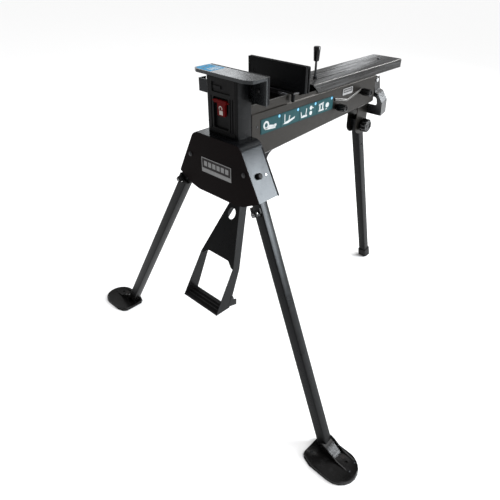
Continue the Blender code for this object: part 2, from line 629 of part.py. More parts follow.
def make_beam():
    outer = BODY_HALF + 0.3
    path = [(-outer, BODY_CREASE_Z + 0.5), (-outer, BEAM_TOP_Z), (outer, BEAM_TOP_Z),
            (outer, BODY_CREASE_Z + 0.5)]
    outline = strip(path, 2.0, radius=3.0, steps=3)
    beam = prism("slide_beam", outline, "y", BEAM_FRONT_Y, BEAM_REAR_Y, BLACK_PAINT)
    mitre = [(BEAM_FRONT_Y - 20, 770), (BEAM_FRONT_Y + 32, 770), (BEAM_FRONT_Y + 2, 799.5),
             (BEAM_FRONT_Y - 20, 799.5)]
    cut(beam, prism("beam_mitre", mitre, "x", -70, 70))
    for side in (-1, 1):
        slot = rounded(rectangle((side * GROOVE_X - 2.2, BEAM_FRONT_Y + 12),
                                 (side * GROOVE_X + 2.2, GROOVE_REAR_Y)), 2.1, 3)
        cut(beam, prism(f"beam_groove_{side}", slot, "z", BEAM_TOP_Z - 1.0, BEAM_TOP_Z + 5))
    cut(beam, pins("beam_holes", [(side * GROOVE_X, GROOVE_REAR_Y + 9, 790) for side in (-1, 1)]
                   + [(31, 256, 790)], round_bar(2.4, 0, 30), "z", segments=12))
    cut(beam, pins("handle_hole", [(HANDLE_ROD[0], HANDLE_ROD[1], 790)], round_bar(3.6, 0, 30), "z"))
    cut(beam, pins("beam_screw_holes", [(0, y, 790) for y in (RIVET_Y, RAIL_SCREW_Y)],
                   round_bar(2.7, 0, 30), "z"))

    section = rounded(rectangle((-RAIL[0], RAIL[1]), (RAIL[0], RAIL[2])), 1.2, 1)
    rail = prism("drive_rail", section, "y", RAIL_FRONT_Y, RAIL_REAR_Y, BRIGHT_STEEL)
    # Cross bar under the moving jaw, with a tongue that fills the fold of the jaw.
    bar = mirrored([(16, JAW_BOTTOM_Z - GAP), (68, JAW_BOTTOM_Z - GAP), (68, 800.3), (17, 800.3),
                    (17, RAIL[2] - 3)])
    fold_y = MOVING_JAW_Y + PAD + GAP + JAW_WALL
    join(rail, prism("jaw_base", bar, "y", RAIL_FRONT_Y + 1, fold_y + JAW_FOLD_GAP + JAW_WALL))
    join(rail, block("jaw_tongue", (-34, fold_y + GAP, 802), (34, fold_y + JAW_FOLD_GAP - GAP, 852)))
    # Boss up to the beam. It stays behind both clutch plates over the whole travel of the beam.
    join(rail, pins("rail_boss", [(0, RAIL_SCREW_Y, RAIL[2] - 2.0)],
                    round_bar(7.0, 0, BEAM_TOP_Z - SHEET - GAP - RAIL[2] + 2.0), "z"))
    holes = bmesh.new()
    add_turned(holes, round_bar(2.7, 0, 20), (0, RAIL_SCREW_Y, 786.5), "z")
    for side in (-1, 1):
        add_turned(holes, round_bar(3.4, 0, 30), (side * STUD[0], STUD[1], 790), "z")
    cut(rail, tool("rail_holes", holes))

    for name, y, low in (("beam_rivet", RIVET_Y, 799.8), ("rail_screw", RAIL_SCREW_Y, 789.0)):
        pins(name, [(0, y, 0)],
             [(0, low), (2.4, low), (2.4, BEAM_TOP_Z + GAP), (5.0, BEAM_TOP_Z + GAP),
              (4.4, BEAM_TOP_Z + 2.2), (0, BEAM_TOP_Z + 2.6)], "z", BLACK_PAINT)


HANDLE_ROD = (8.0, 285.0)


def make_jaw_handle():
    x, y = HANDLE_ROD
    rig = make_rig("jaw_handle_axis", (x, y, BEAM_TOP_Z), parent=ROOT)
    rod = pins("handle_rod", [(0, 0, 0)], [(0, -3.2), (3.2, -3.2), (3.2, 58), (0, 58)], "z",
         BRIGHT_STEEL, rig, 12)
    grip = pins("handle_grip", [(0, 0, 0)],
                [(0, 44.5), (6.0, 44.5), (7.6, 46.5), (9.6, 79.0), (8.6, 82.0), (0, 82.6)], "z",
                BLACK_PLASTIC, rig, 20)
    cut(grip, pins("grip_bore", [(0, 0, 0)], round_bar(3.5, 40, 60), "z", rig=rig))
    join(rod, prism("handle_nut", circle((0, 0), 6.4, 6), "z", GAP, 5.5, rig=rig))


def clutch_plate(name, y, tab):
    """Plate round the rail: it tilts a little and grips, and the tab is what moves it."""
    (tab_low, tab_high), tab_bottom = tab
    outline = [(-27, 759), (tab_low, 759), (tab_low, tab_bottom), (tab_high, tab_bottom),
               (tab_high, 765), (max(27, tab_high), 765), (27, 799.2), (-27, 799.2)]
    if tab_high <= 27:
        outline[4:6] = [(tab_high, 759), (27, 759)]
    plate = prism(name, outline, "y", y, y + 4.0, BRIGHT_STEEL)
    margin = 0.6
    opening = rectangle((-RAIL[0] - margin, RAIL[1] - margin), (RAIL[0] + margin, RAIL[2] + margin))
    cut(plate, prism(f"{name}_window", opening, "y", y - 5, y + 10))
    return plate


def make_drive():
    holding = clutch_plate("holding_plate", HOLDING_PLATE_Y, ((22, 41), 741))
    rod_x, rod_z = RELEASE_ROD
    join(holding, pins("release_rod", [(rod_x, -38.0, rod_z)],
                       round_bar(2.4, 0.0, HOLDING_PLATE_Y + 38.0 + 3.0), "y", segments=10))

    drive = clutch_plate("pedal_link", DRIVE_PLATE_Y, ((-4, 20), 738))
    front = Vector((LINK_X, PEDAL_PIVOT[1], PEDAL_PIVOT[2] + LINK_ARM))
    path = [(front.y - 8.0, front.z + 7.0), (front.y + 16.0, front.z + 7.0),
            (DRIVE_PLATE_Y - 12.0, 750.0), (DRIVE_PLATE_Y + 2.0, 750.0)]
    join(drive, prism("link_bar", strip(path, 10.0, 10.0, 3), "x", front.x - 2.0, front.x + 2.0))
    lug = rounded(rectangle((front.y - 8.5, front.z - 11), (front.y + 8.5, front.z + 6.9)), 3.5, 3)
    join(drive, prism("link_lug", lug, "x", front.x - 1.99, front.x + 1.99))
    eye = rounded(rectangle((front.y - 3.7, front.z - 7.3), (front.y + 3.7, front.z + 3.6)), 3.6, 3)
    cut(drive, prism("link_eye", eye, "x", front.x - 5, front.x + 5))


# ---------------------------------------------------------------- lock lever

LEVER_AXIS = (0.0, -60.5, 806.5)


def make_lock_lever(panel):
    rig = make_rig("lock_lever_axis", LEVER_AXIS, parent=ROOT)
    shape = [(-25.5, -3.5), (-13, -3.5), (-13, -33), (14, -33), (14, -3.5), (18, -3.5), (18, 4.5),
             (-25.5, 4.5)]
    lever = prism("lock_lever", rounded(shape, [1.5, 1, 2, 2, 1, 1, 1.5, 1.5], 2), "y", -3.4, 3.4,
                  RED_PLASTIC, rig)
    bevel(lever, 0.7)
    trunnions = pins("lever_trunnions", [(-32, 0, 0)], round_bar(1.6, 0.0, 57.0), "x", rig=rig, segments=12)
    join(lever, trunnions)
    _, y, z = LEVER_AXIS
    cut(panel, pins("trunnion_holes", [(-32.4, y, z)], round_bar(2.0, 0.0, 57.8), "x", segments=12))


# ---------------------------------------------------------------- pedal

def make_pedal():
    rig = make_rig("pedal_axis", PEDAL_PIVOT, parent=ROOT)
    # The face is drawn in its own plane, which leans forward; the hole's centre is its origin.
    face = Matrix.Translation(Vector(PEDAL_HOLE) * MM) @ Matrix.Rotation(-PEDAL_LEAN, 4, "X")
    rise = 1.0 / math.cos(PEDAL_LEAN)
    neck, knee = ((x, (z - PEDAL_HOLE[2]) * rise) for x, _, z in (PEDAL_NECK, PEDAL_KNEE))
    top = (17.0, 68.0)
    outline = mirrored([top, neck, knee, (knee[0], knee[1] - 3), (56, knee[1] - 1), (40, knee[1] + 13)])
    outline = rounded(outline, [2, 40, 4, 0, 4, 8, 8, 4, 0, 4, 40, 2], steps=3)
    pedal = prism("pedal_frame", outline, "y", 0.0, SHEET, BLACK_PAINT, rig, face)
    for side in (-1, 1):
        join(pedal, pedal_wall(side, top, rig))
        cheek = rounded([(2, 540), (24, 540), (34, 588), (30, 602), (9, 602), (5, 588)], 7.0, 3)
        low_x, high_x = sorted((side * 14.5, side * 17.0))
        join(pedal, prism(f"pedal_cheek_{side}", cheek, "x", low_x, high_x, rig=rig, world=Matrix()))
    hook = rounded([(PEDAL_HEEL_Y - 3, 262), (-92, 254), (-91, 273), (-100, 276), (-105, 292), (-111, 292)],
                   [0, 2, 2, 3, 2, 0], 2)
    toe_x = PEDAL_TOE[0]
    join(pedal, prism("fold_hook", hook, "x", toe_x - SHEET + 0.02, toe_x - 0.02, rig=rig, world=Matrix()))
    cut(pedal, prism("pedal_hole", ellipse((0, 0), 13.5, 16.0), "y", -5, 8, rig=rig, world=face))
    cut(pedal, pins("pedal_bore", [PEDAL_PIVOT], [(0, -40), (6, -40), (6, 40), (0, 40)], "x", rig=rig,
                    world=Matrix()))

    # Level tread between the straps.
    half = toe_x - SHEET - GAP
    toe_y, toe_z = PEDAL_TOE[1:]
    section = strip([(toe_y + 1, toe_z + 0.5), (toe_y + 1, toe_z + 6), (PEDAL_HEEL_Y - 3, toe_z + 9),
                     (PEDAL_HEEL_Y - 3, toe_z + 1.5)], 2.5, 2.0, 2)
    tread = prism("pedal_tread", section, "x", -half, half, BLACK_PAINT, rig, Matrix())
    ribs = bmesh.new()
    for y in (toe_y + 13, toe_y + 24, toe_y + 35):
        lift = toe_z + 6 + (y - toe_y) * 0.065
        bead = rounded([(y - 3, lift - 1.5), (y + 3, lift - 1.5), (y + 2, lift + 1.8), (y - 2, lift + 1.8)],
                       1.0, 2)
        add_prism(ribs, bead, "x", -half + 5, half - 5)
    join(tread, tool("tread_ribs", ribs, rig, Matrix()))

    # Upright lever inside the body, which pulls the drive link.
    lever = [(-13, -8), (13, -8), (7, LINK_ARM + 6), (-7, LINK_ARM + 6)]
    crank = prism("pedal_crank", rounded(lever, 6.0, 3), "x", LINK_X + 2.4, LINK_X + 6.4, BRIGHT_STEEL, rig)
    pin = pins("crank_pin", [(LINK_X - 3.0, 0, LINK_ARM)], round_bar(3.0, 0, 8.0), "x", rig=rig)
    join(crank, pin)

    # Tube on the pivot pin that carries the pedal's cheeks and the crank.
    hub = pins("crank_hub", [(-22.5, 0, 0)], round_bar(5.6, 0, 45.0), "x", rig=rig, segments=20)
    join(crank, hub)
    cut(crank, pins("hub_bore", [(-40, 0, 0)], round_bar(3.4, 0, 80.0), "x", rig=rig, segments=20))


def pedal_wall(side, top, rig):
    """Flange down one side of the pedal, which goes on as a strap to the tread."""
    slope = Vector((0, -math.sin(PEDAL_LEAN), -math.cos(PEDAL_LEAN)))
    back = Vector((0, math.cos(PEDAL_LEAN), -math.sin(PEDAL_LEAN)))
    head = Vector(PEDAL_HOLE) - slope * top[1]
    neck, knee = Vector((0, *PEDAL_NECK[1:])), Vector((0, *PEDAL_KNEE[1:]))
    stations = [(top[0], head, head + back * 30.0), (PEDAL_NECK[0], neck, neck + back * 30.0),
                (PEDAL_KNEE[0], knee, knee + back * 26.0),
                (PEDAL_TOE[0], Vector((0, *PEDAL_TOE[1:])), Vector((0, PEDAL_HEEL_Y, PEDAL_TOE[2])))]
    mesh = bmesh.new()
    loops = []
    for x, front, rear in stations:
        front, rear = front + back * 0.03, rear
        loops.append([Vector((side * x, front.y, front.z)), Vector((side * x, rear.y, rear.z)),
                      Vector((side * (x - SHEET), rear.y, rear.z)),
                      Vector((side * (x - SHEET), front.y, front.z))])
    add_loft(mesh, loops)
    return tool(f"pedal_wall_{side}", mesh, rig, Matrix())


def ellipse(centre, half_width, half_height, segments=20):
    return [(centre[0] + half_width * math.cos(2 * math.pi * k / segments),
             centre[1] + half_height * math.sin(2 * math.pi * k / segments)) for k in range(segments)]


def make_pedal_mount():
    cheek = rounded([(-8, 662), (6, 590), (12, 576), (30, 577), (70, 634), (80, 647), (108, 662)],
                    [0, 10, 10, 10, 12, 8, 0], steps=3)
    low_z, high_z = 655.0, 659.6
    bracket = bmesh.new()
    top = rectangle((-27, high_z - 2.4), (27, high_z))
    add_prism(bracket, top, "y", -7, 100)
    bracket = finish("pedal_bracket", bracket, BLACK_PAINT)
    for side in (-1, 1):
        low_x, high_x = sorted((side * 24.6, side * 27.0))
        trimmed = [(p.x, min(p.y, high_z - 0.02)) for p in cheek]
        join(bracket, prism(f"bracket_cheek_{side}", trimmed, "x", low_x, high_x))
    cut(bracket, block("crank_slot", (-17, -20, low_z - 6), (17, 75, 680)))
    cut(bracket, pins("bracket_bore", [(-40, PEDAL_PIVOT[1], PEDAL_PIVOT[2])], round_bar(3.4, 0, 80), "x"))
    pins("pedal_pivot_pin", [(0, PEDAL_PIVOT[1], PEDAL_PIVOT[2])],
         [(0, -31), (5.5, -31), (5.5, -27 - GAP), (3.0, -27 - GAP), (3.0, 27 + GAP), (5.5, 27 + GAP),
          (5.5, 31), (0, 31)], "x", BRIGHT_STEEL)


# ---------------------------------------------------------------- legs

def make_front_leg(side, name):
    direction = Vector((side * math.sin(LEG_SPLAY), -math.sin(LEG_LEAN) * math.cos(LEG_SPLAY),
                        -math.cos(LEG_LEAN) * math.cos(LEG_SPLAY)))
    axis_z, axis_y = -direction, Vector((0, math.cos(LEG_LEAN), -math.sin(LEG_LEAN)))
    axis_x = axis_y.cross(axis_z)
    turn = Matrix((axis_x, axis_y, axis_z)).transposed()
    pivot = Vector((side * LEG_PIVOT[0], LEG_PIVOT[1], LEG_PIVOT[2]))
    rig = make_rig(f"{name}_leg_axis", pivot, turn, ROOT)
    length = (LEG_PIVOT[2] - FOOT_TOP_Z - 9.0) / (math.cos(LEG_LEAN) * math.cos(LEG_SPLAY))
    leg = square_tube(f"{name}_front_leg", 16.0, -length, rig)
    # The upper outer corner is cut off, so that it clears the head's side as the leg folds in.
    corner = [(side * 15.0, 4.5), (side * 15.0, 17.0), (side * 4.5, 17.0)]
    cut(leg, prism(f"{name}_leg_corner", corner, "y", -30, 30, rig=rig))
    cut(leg, pins(f"{name}_leg_bore", [(0, -30, 0)], round_bar(4.4, 0, 60), "y", rig=rig))
    make_latch(side, name, rig)
    make_foot(side, name, rig, pivot, turn, length)
    return rig


def square_tube(name, high, low, rig):
    half = TUBE / 2
    outer = rounded(rectangle((-half, -half), (half, half)), TUBE_CORNER, 3)
    inner_half = half - TUBE_WALL
    inner = rounded(rectangle((-inner_half, -inner_half), (inner_half, inner_half)),
                    TUBE_CORNER - TUBE_WALL, 3)
    mesh = bmesh.new()
    add_tube(mesh, outer, inner, "z", low, high)
    return finish(name, mesh, BLACK_PAINT, rig)


def make_latch(side, name, rig):
    """Plastic clip, open on the outer side, that slides on the tube just below the cover."""
    half, wall = TUBE / 2 + 0.4, 4.5
    path = [(side * (half - 1), -half), (-side * half, -half), (-side * half, half), (side * 4, half)]
    low, high = -LATCH_REACH - 18.0, -LATCH_REACH
    clip = strip(path, -side * wall, 1.5, 2)
    latch = prism(f"{name}_leg_latch", clip, "z", low, high, BLACK_PLASTIC, rig)
    # The upper edge slopes, so that it passes below the cover as the leg folds in.
    slope = [(side * 20, high - 3.5), (side * 20, high + 5), (-side * 30, high + 5), (-side * 30, low + 5),
             (-side * 19, low + 5)]
    slope = prism(f"{name}_latch_slope", slope, "y", -half - 8, -half + 2.6, rig=rig)
    inner_x = -side * (half + wall - 1.0)
    tab = rounded([(inner_x, low + 1), (inner_x - side * 6, low + 1), (inner_x - side * 8, low + 7),
                   (inner_x - side * 8, high - 1), (inner_x - side * 4, high - 1), (inner_x, high - 7)],
                  1.5, 2)
    join(latch, prism(f"{name}_latch_tab", tab, "y", -half + 0.9, -half + 12, rig=rig))
    cut(latch, slope)


def foot_outline(side, grow=0.0):
    """D shape: square inner end, round outer end, centred where the leg lands."""
    inner, outer, half = -36.0 - grow, 100.0 + grow, 49.0 + grow
    arc_centre = outer - half
    points = [(inner + 10, -half * 0.84), (inner, -half * 0.6), (inner, half * 0.6), (inner + 10, half * 0.84),
              (inner + 32, half)]
    points += [(arc_centre + half * math.sin(math.pi * k / 10), half * math.cos(math.pi * k / 10))
               for k in range(11)]
    points.append((inner + 32, -half))
    return [(side * x, y + FOOT_SHIFT_Y) for x, y in points]


def make_foot(side, name, rig, pivot, turn, length):
    landing = pivot + turn @ Vector((0, 0, -length - 18.0))
    world = Matrix.Translation(Vector((landing.x, landing.y, 0)) * MM)
    mesh = bmesh.new()
    shell = [(0.0, SOLE_Z + GAP), (0.0, FOOT_TOP_Z - 2.5), (-4.0, FOOT_TOP_Z)]
    add_loft(mesh, [[Vector((x, y, z)) for x, y in foot_outline(side, grow)] for grow, z in shell])
    foot = finish(f"{name}_foot", mesh, BLACK_PAINT, rig, world)

    sleeve_half = TUBE / 2 + 2.6
    outer = rounded(rectangle((-sleeve_half, -sleeve_half), (sleeve_half, sleeve_half)), 4.0, 2)
    inner = rounded(rectangle((-TUBE / 2 - GAP, -TUBE / 2 - GAP), (TUBE / 2 + GAP, TUBE / 2 + GAP)),
                    TUBE_CORNER, 2)
    sleeve = bmesh.new()
    add_prism(sleeve, outer, "z", -length - 30.0, -length + 26.0)
    sleeve = tool(f"{name}_foot_sleeve", sleeve, rig)
    cut(sleeve, block(f"{name}_sleeve_trim", (-90, -90, -30), (90, 90, SOLE_Z + 1.5), rig=rig, world=world))
    join(foot, sleeve)
    cut(foot, prism(f"{name}_sleeve_bore", inner, "z", -length - GAP, -length + 40, rig=rig))

    ramp = [(8.0, FOOT_TOP_Z - 1), (68.0, FOOT_TOP_Z - 1), (32.0, FOOT_TOP_Z + 17), (8.0, FOOT_TOP_Z + 30)]
    ramp = [(side * x, z) for x, z in ramp]
    web = prism(f"{name}_foot_ramp", ramp, "y", -12.0, 12.0, rig=rig, world=world)
    half = sleeve_half - 1.0
    cut(web, prism(f"{name}_ramp_bore", rectangle((-half, -half), (half, half)), "z",
                   -length - 60, -length + 80, rig=rig))
    join(foot, web)
    cut(foot, pins(f"{name}_foot_hole", [(side * 84.0, FOOT_SHIFT_Y, -5)], round_bar(6.0, 0, 40), "z",
                   rig=rig, world=world))

    sole = bmesh.new()
    add_prism(sole, foot_outline(side, 1.0), "z", 0.0, SOLE_Z)
    finish(f"{name}_foot_sole", sole, BLACK_RUBBER, rig, world)


def make_rear_leg():
    direction = Vector((0, math.sin(REAR_LEAN), -math.cos(REAR_LEAN)))
    axis_z, axis_x = -direction, Vector((1, 0, 0))
    turn = Matrix((axis_x, axis_z.cross(axis_x), axis_z)).transposed()
    rig = make_rig("rear_leg_axis", REAR_PIVOT, turn, ROOT)
    length = (REAR_PIVOT[2] - 14.0) / math.cos(REAR_LEAN)
    leg = square_tube("rear_leg", 24.0, -length, rig)
    cut(leg, pins("rear_leg_bore", [(-30, 0, 0)], round_bar(4.4, 0, 60), "x", rig=rig))
    cut(leg, pins("rear_leg_detent", [(0, 0, -78)], round_bar(3.0, 0, 60), "x", rig=rig, segments=12))

    outer_half = TUBE / 2 + 3.0
    outer = rounded(rectangle((-outer_half, -outer_half), (outer_half, outer_half)), 4.0, 3)
    cap = prism("rear_foot_cap", outer, "z", -length - 30, -length + 24, BLACK_RUBBER, rig)
    bore = TUBE / 2 + GAP
    socket = rounded(rectangle((-bore, -bore), (bore, bore)), TUBE_CORNER, 3)
    cut(cap, prism("cap_socket", socket, "z", -length - GAP, -length + 40, rig=rig))
    cut(cap, block("cap_ground", (-90, 600, -90), (90, 900, 0.0), rig=rig,
                   world=Matrix.Identity(4)))


def make_rear_bracket():
    y, z = REAR_PIVOT[1] - 5.0, REAR_PIVOT[2]
    radius, inner_x = 29.0, TUBE / 2 + 1.2
    top_z = 689.0
    cheek = [(y + radius, top_z - 40), (y + radius - 13, top_z), (y - radius, top_z)]
    cheek += [(y - radius * math.cos(math.pi * k / 10), z - radius * math.sin(math.pi * k / 10))
              for k in range(11)]
    bridge = prism("rear_leg_bracket", rectangle((-inner_x - 3, 511.2), (inner_x + 3, 555.5)), "z",
                   top_z - 3.0, top_z - 0.02, BLACK_PAINT)
    for side in (-1, 1):
        low, high = sorted((side * inner_x, side * (inner_x + 3.0)))
        join(bridge, prism(f"rear_cheek_{side}", cheek, "x", low, high))
    cut(bridge, pins("rear_bracket_bore", [(-40, *REAR_PIVOT[1:])], round_bar(4.4, 0, 80), "x"))
    seat = inner_x + 3.0 + GAP
    pins("rear_leg_bolt", [(0, *REAR_PIVOT[1:])],
         [(0, -seat - 5), (7.5, -seat - 4), (7.5, -seat), (3.9, -seat), (3.9, seat + 18), (0, seat + 18)],
         "x", BRIGHT_STEEL)
    rig = make_rig("rear_leg_knob_axis", (seat, *REAR_PIVOT[1:]), parent=ROOT)
    knob = ribbed_knob("rear_leg_knob", 22.0, 25.0, 14, rig)
    cut(knob, pins("rear_knob_bore", [(-2, 0, 0)], round_bar(4.3, 0, 22), "x", rig=rig))


# ---------------------------------------------------------------- rear handle and springs

def make_rear_handle():
    rig = make_rig("rear_handle_place", HANDLE_PIN, Matrix.Rotation(HANDLE_LEAN, 3, "X"), ROOT)
    # Local frame: -Z runs down the handle's face, -Y is its front.
    front, depth, wall = -12.0, 29.0, 2.5
    edge = [(48.5, -38), (59, -40), (73, -69), (67, -116)]
    face = mirrored([(48.5, -36)] + edge[1:])
    plate = prism("rear_handle", rounded(face, [2, 4, 8, 6, 6, 8, 4, 2], 3), "y", front, front + wall,
                  BLACK_PLASTIC, rig)
    for side in (-1, 1):
        path = [(side * 48.5, 9.0), (side * 48.5, -37)] + [(side * x, z) for x, z in edge[1:]]
        join(plate, prism(f"handle_rim_{side}", strip(path, side * wall, 4.0, 3), "y", front + 0.01,
                          front + depth, rig=rig))
    join(plate, prism("handle_top_rim", rectangle((-47, -38.5), (47, -36.01)), "y", front + 0.02,
                      front + depth - 0.01, rig=rig))
    hole = rounded(rectangle((-54, -82), (54, -52)), 9.0, 4)
    cut(plate, prism("hand_opening", hole, "y", front - 5, front + 8, rig=rig))
    cut(plate, pins("handle_pin_bore", [(-60, 0, 0)], round_bar(4.3, 0, 120), "x", rig=rig))
    cut(plate, block("tab_round", (-60, 6, 5.0), (60, 20, 20.0), rig=rig))
    pins("rear_handle_pin", [(0, *HANDLE_PIN[1:])],
         [(0, -52.5), (6.0, -52.5), (6.0, -48.8), (3.9, -48.8), (3.9, 48.8), (6.0, 48.8), (6.0, 52.5),
          (0, 52.5)], "x", BRIGHT_STEEL)


def make_return_spring():
    """Torsion spring round the pedal's hub, which swings the pedal forward again."""
    turns, steps, coil_radius, wire = 6, 10, 8.0, 1.1
    start_x, end_x = -13.0, 1.0
    count = turns * steps
    mesh = bmesh.new()
    loops = []
    for k in range(count + 1):
        angle = 2 * math.pi * k / steps
        outward = Vector((0, math.cos(angle), math.sin(angle)))
        middle = Vector(PEDAL_PIVOT) + outward * coil_radius
        middle.x = start_x + (end_x - start_x) * k / count
        loops.append([middle + outward * wire * math.cos(a) + Vector((wire * math.sin(a), 0, 0))
                      for a in (2 * math.pi * n / 4 for n in range(4))])
    add_loft(mesh, loops)
    finish("pedal_return_spring", mesh, BRIGHT_STEEL)


make_body()
make_body_fittings()
make_head()
make_front_cover()
make_lock_lever(make_column())
make_fixed_jaw()
make_beam()
make_moving_jaw()
make_jaw_handle()
make_drive()
make_pedal_mount()
make_pedal()
for leg_side, leg_name in ((-1, "left"), (1, "right")):
    make_front_leg(leg_side, leg_name)
make_rear_bracket()
make_rear_leg()
make_rear_handle()
make_return_spring()
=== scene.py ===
"""Visual model of a foot-operated clamping work stand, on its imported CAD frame."""
import math

import bmesh
import bpy
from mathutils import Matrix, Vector


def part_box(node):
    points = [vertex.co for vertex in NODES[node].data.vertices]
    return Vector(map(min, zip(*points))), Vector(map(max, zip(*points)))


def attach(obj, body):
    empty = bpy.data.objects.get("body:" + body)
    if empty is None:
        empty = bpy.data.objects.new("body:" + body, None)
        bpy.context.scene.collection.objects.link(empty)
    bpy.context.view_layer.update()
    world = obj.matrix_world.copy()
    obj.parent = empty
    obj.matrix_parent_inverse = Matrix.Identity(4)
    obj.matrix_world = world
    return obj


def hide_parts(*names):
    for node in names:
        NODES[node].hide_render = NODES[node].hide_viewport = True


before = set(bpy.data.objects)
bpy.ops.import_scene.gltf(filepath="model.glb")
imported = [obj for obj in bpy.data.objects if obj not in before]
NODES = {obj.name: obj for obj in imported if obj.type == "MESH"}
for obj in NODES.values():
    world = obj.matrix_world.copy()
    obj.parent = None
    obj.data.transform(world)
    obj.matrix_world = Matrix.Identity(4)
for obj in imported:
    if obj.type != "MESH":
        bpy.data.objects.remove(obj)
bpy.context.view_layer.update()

MM = 0.001
JAW_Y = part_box("fixed_jaw_pad")[1].y          # the fixed jaw's face; most places are measured from it
BODY_X = 52.0                                 # mm, the outer face of the body's side


def spot(x, y, z):
    """A place in millimetres, with Y measured from the fixed jaw's face."""
    return Vector((x * MM, y * MM + JAW_Y, z * MM))


# ---------------------------------------------------------------- materials

class Look:
    """A Principled material in the making; its methods add nodes and link them."""

    def __init__(self, name, colour, roughness, metallic=0.0, specular=0.5, coat=0.0, coat_roughness=0.1):
        self.material = bpy.data.materials.new(name)
        self.material.use_nodes = True
        self.material.diffuse_color = (*colour, 1.0)
        self.tree = self.material.node_tree
        self.shader = self.tree.nodes["Principled BSDF"]
        self.shader.inputs["Base Color"].default_value = (*colour, 1.0)
        self.shader.inputs["Roughness"].default_value = roughness
        self.shader.inputs["Metallic"].default_value = metallic
        self.shader.inputs["Specular IOR Level"].default_value = specular
        self.shader.inputs["Coat Weight"].default_value = coat
        self.shader.inputs["Coat Roughness"].default_value = coat_roughness
        self.place = self.tree.nodes.new("ShaderNodeTexCoord").outputs["Object"]

    def add(self, kind, values=None, **settings):
        node = self.tree.nodes.new(kind)
        for key, value in settings.items():
            setattr(node, key, value)
        for key, value in (values or {}).items():
            if isinstance(value, bpy.types.NodeSocket):
                self.tree.links.new(value, node.inputs[key])
            else:
                node.inputs[key].default_value = value
        return node

    def stretched(self, scale):
        """Object coordinates scaled along X, Y and Z, which draws a noise out along the small ones."""
        return self.add("ShaderNodeMapping", {"Vector": self.place, "Scale": scale}).outputs[0]

    def noise(self, scale, detail=3.0, roughness=0.55, place=None, distortion=0.0):
        return self.add("ShaderNodeTexNoise", {"Vector": place or self.place, "Scale": scale,
                                               "Detail": detail, "Roughness": roughness,
                                               "Distortion": distortion}).outputs["Fac"]

    def ramp(self, value, low, high, start=0.0, end=1.0):
        """Maps the range low to high onto start to end."""
        return self.add("ShaderNodeMapRange", {"Value": value, "From Min": low, "From Max": high,
                                               "To Min": start, "To Max": end}).outputs[0]

    def mix(self, factor, a, b):
        """A colour between a, at factor 0, and b, at factor 1."""
        node = self.add("ShaderNodeMix", data_type="RGBA")
        for index, value in ((0, factor), (6, a), (7, b)):
            if isinstance(value, bpy.types.NodeSocket):
                self.tree.links.new(value, node.inputs[index])
            elif index == 0:
                node.inputs[0].default_value = value
            else:
                node.inputs[index].default_value = (*value, 1.0)
        return node.outputs[2]

    def set(self, socket, value):
        self.tree.links.new(value, self.shader.inputs[socket])

    def bump(self, layers):
        """Layers of (height, strength, distance), the last one on top."""
        normal = None
        for height, strength, distance in layers:
            values = {"Height": height, "Strength": strength, "Distance": distance}
            if normal is not None:
                values["Normal"] = normal
            normal = self.add("ShaderNodeBump", values).outputs[0]
        self.set("Normal", normal)


def shade(colour, factor):
    return tuple(min(1.0, c * factor) for c in colour)


def powder_coat(name, colour, roughness, specular=0.5, coat=0.0, dust=(0.055, 0.055, 0.058),
                tint=(1.0, 1.0, 1.0), streaks=0.0, marks=1.0):
    """Satin powder coat: orange peel, slight cloudiness, a little dust and fine handling scratches.

    marks scales the dust and scratches, and streaks is how much rubbing stretches lose their gloss; where
    streaks is given, the colour is also lightened along those stretches as a painted streaky highlight.
    """
    look = Look(name, colour, roughness, specular=specular, coat=coat, coat_roughness=0.12)
    peel = look.noise(520.0, 2.0, 0.5)
    grain = look.noise(2600.0, 2.0, 0.6)
    cloud = look.noise(9.0, 4.0, 0.6)
    fine = look.noise(60.0, 5.0, 0.7)
    scratches = look.noise(34.0, 6.0, 0.75, look.stretched((1.0, 14.0, 1.0)), 0.4)
    wear = look.ramp(scratches, 0.64, 0.72, 0.0, 0.35 * marks)
    base = look.mix(look.ramp(cloud, 0.35, 0.7), shade(colour, 0.82), shade(colour, 1.2))
    base = look.mix(look.ramp(fine, 0.55, 0.9, 0.0, 0.22 * marks), base, dust)
    base = look.mix(wear, base, dust)
    look.shader.inputs["Specular Tint"].default_value = (*tint, 1.0)
    look.set("Base Color", base)
    rough = look.ramp(look.add("ShaderNodeMath", {0: cloud, 1: fine}, operation="MULTIPLY").outputs[0],
                      0.12, 0.42, roughness - 0.05 * marks, roughness + 0.06 * marks)
    layers = [(peel, 0.10, 0.0006), (grain, 0.06, 0.0002)]
    if streaks:
        # Rubbing marks along the beam, where work and hands slide over it: they lose gloss, and the colour is
        # lightened along them as a painted streaky highlight.
        rub_and_sheen = look.noise(190.0, 4.0, 0.7, look.stretched((1.0, 0.020, 1.0)))
        base = look.mix(look.ramp(rub_and_sheen, 0.50, 0.66, 0.0, 0.8), base, (0.040, 0.041, 0.043))
        look.set("Base Color", base)
        dulled = look.ramp(rub_and_sheen, 0.36, 0.62, 0.0, streaks)
        rough = look.add("ShaderNodeMath", {0: rough, 1: dulled}, operation="ADD").outputs[0]
        layers.append((rub_and_sheen, 0.12, 0.0005))
    look.set("Roughness", rough)
    look.bump(layers)
    return look.material


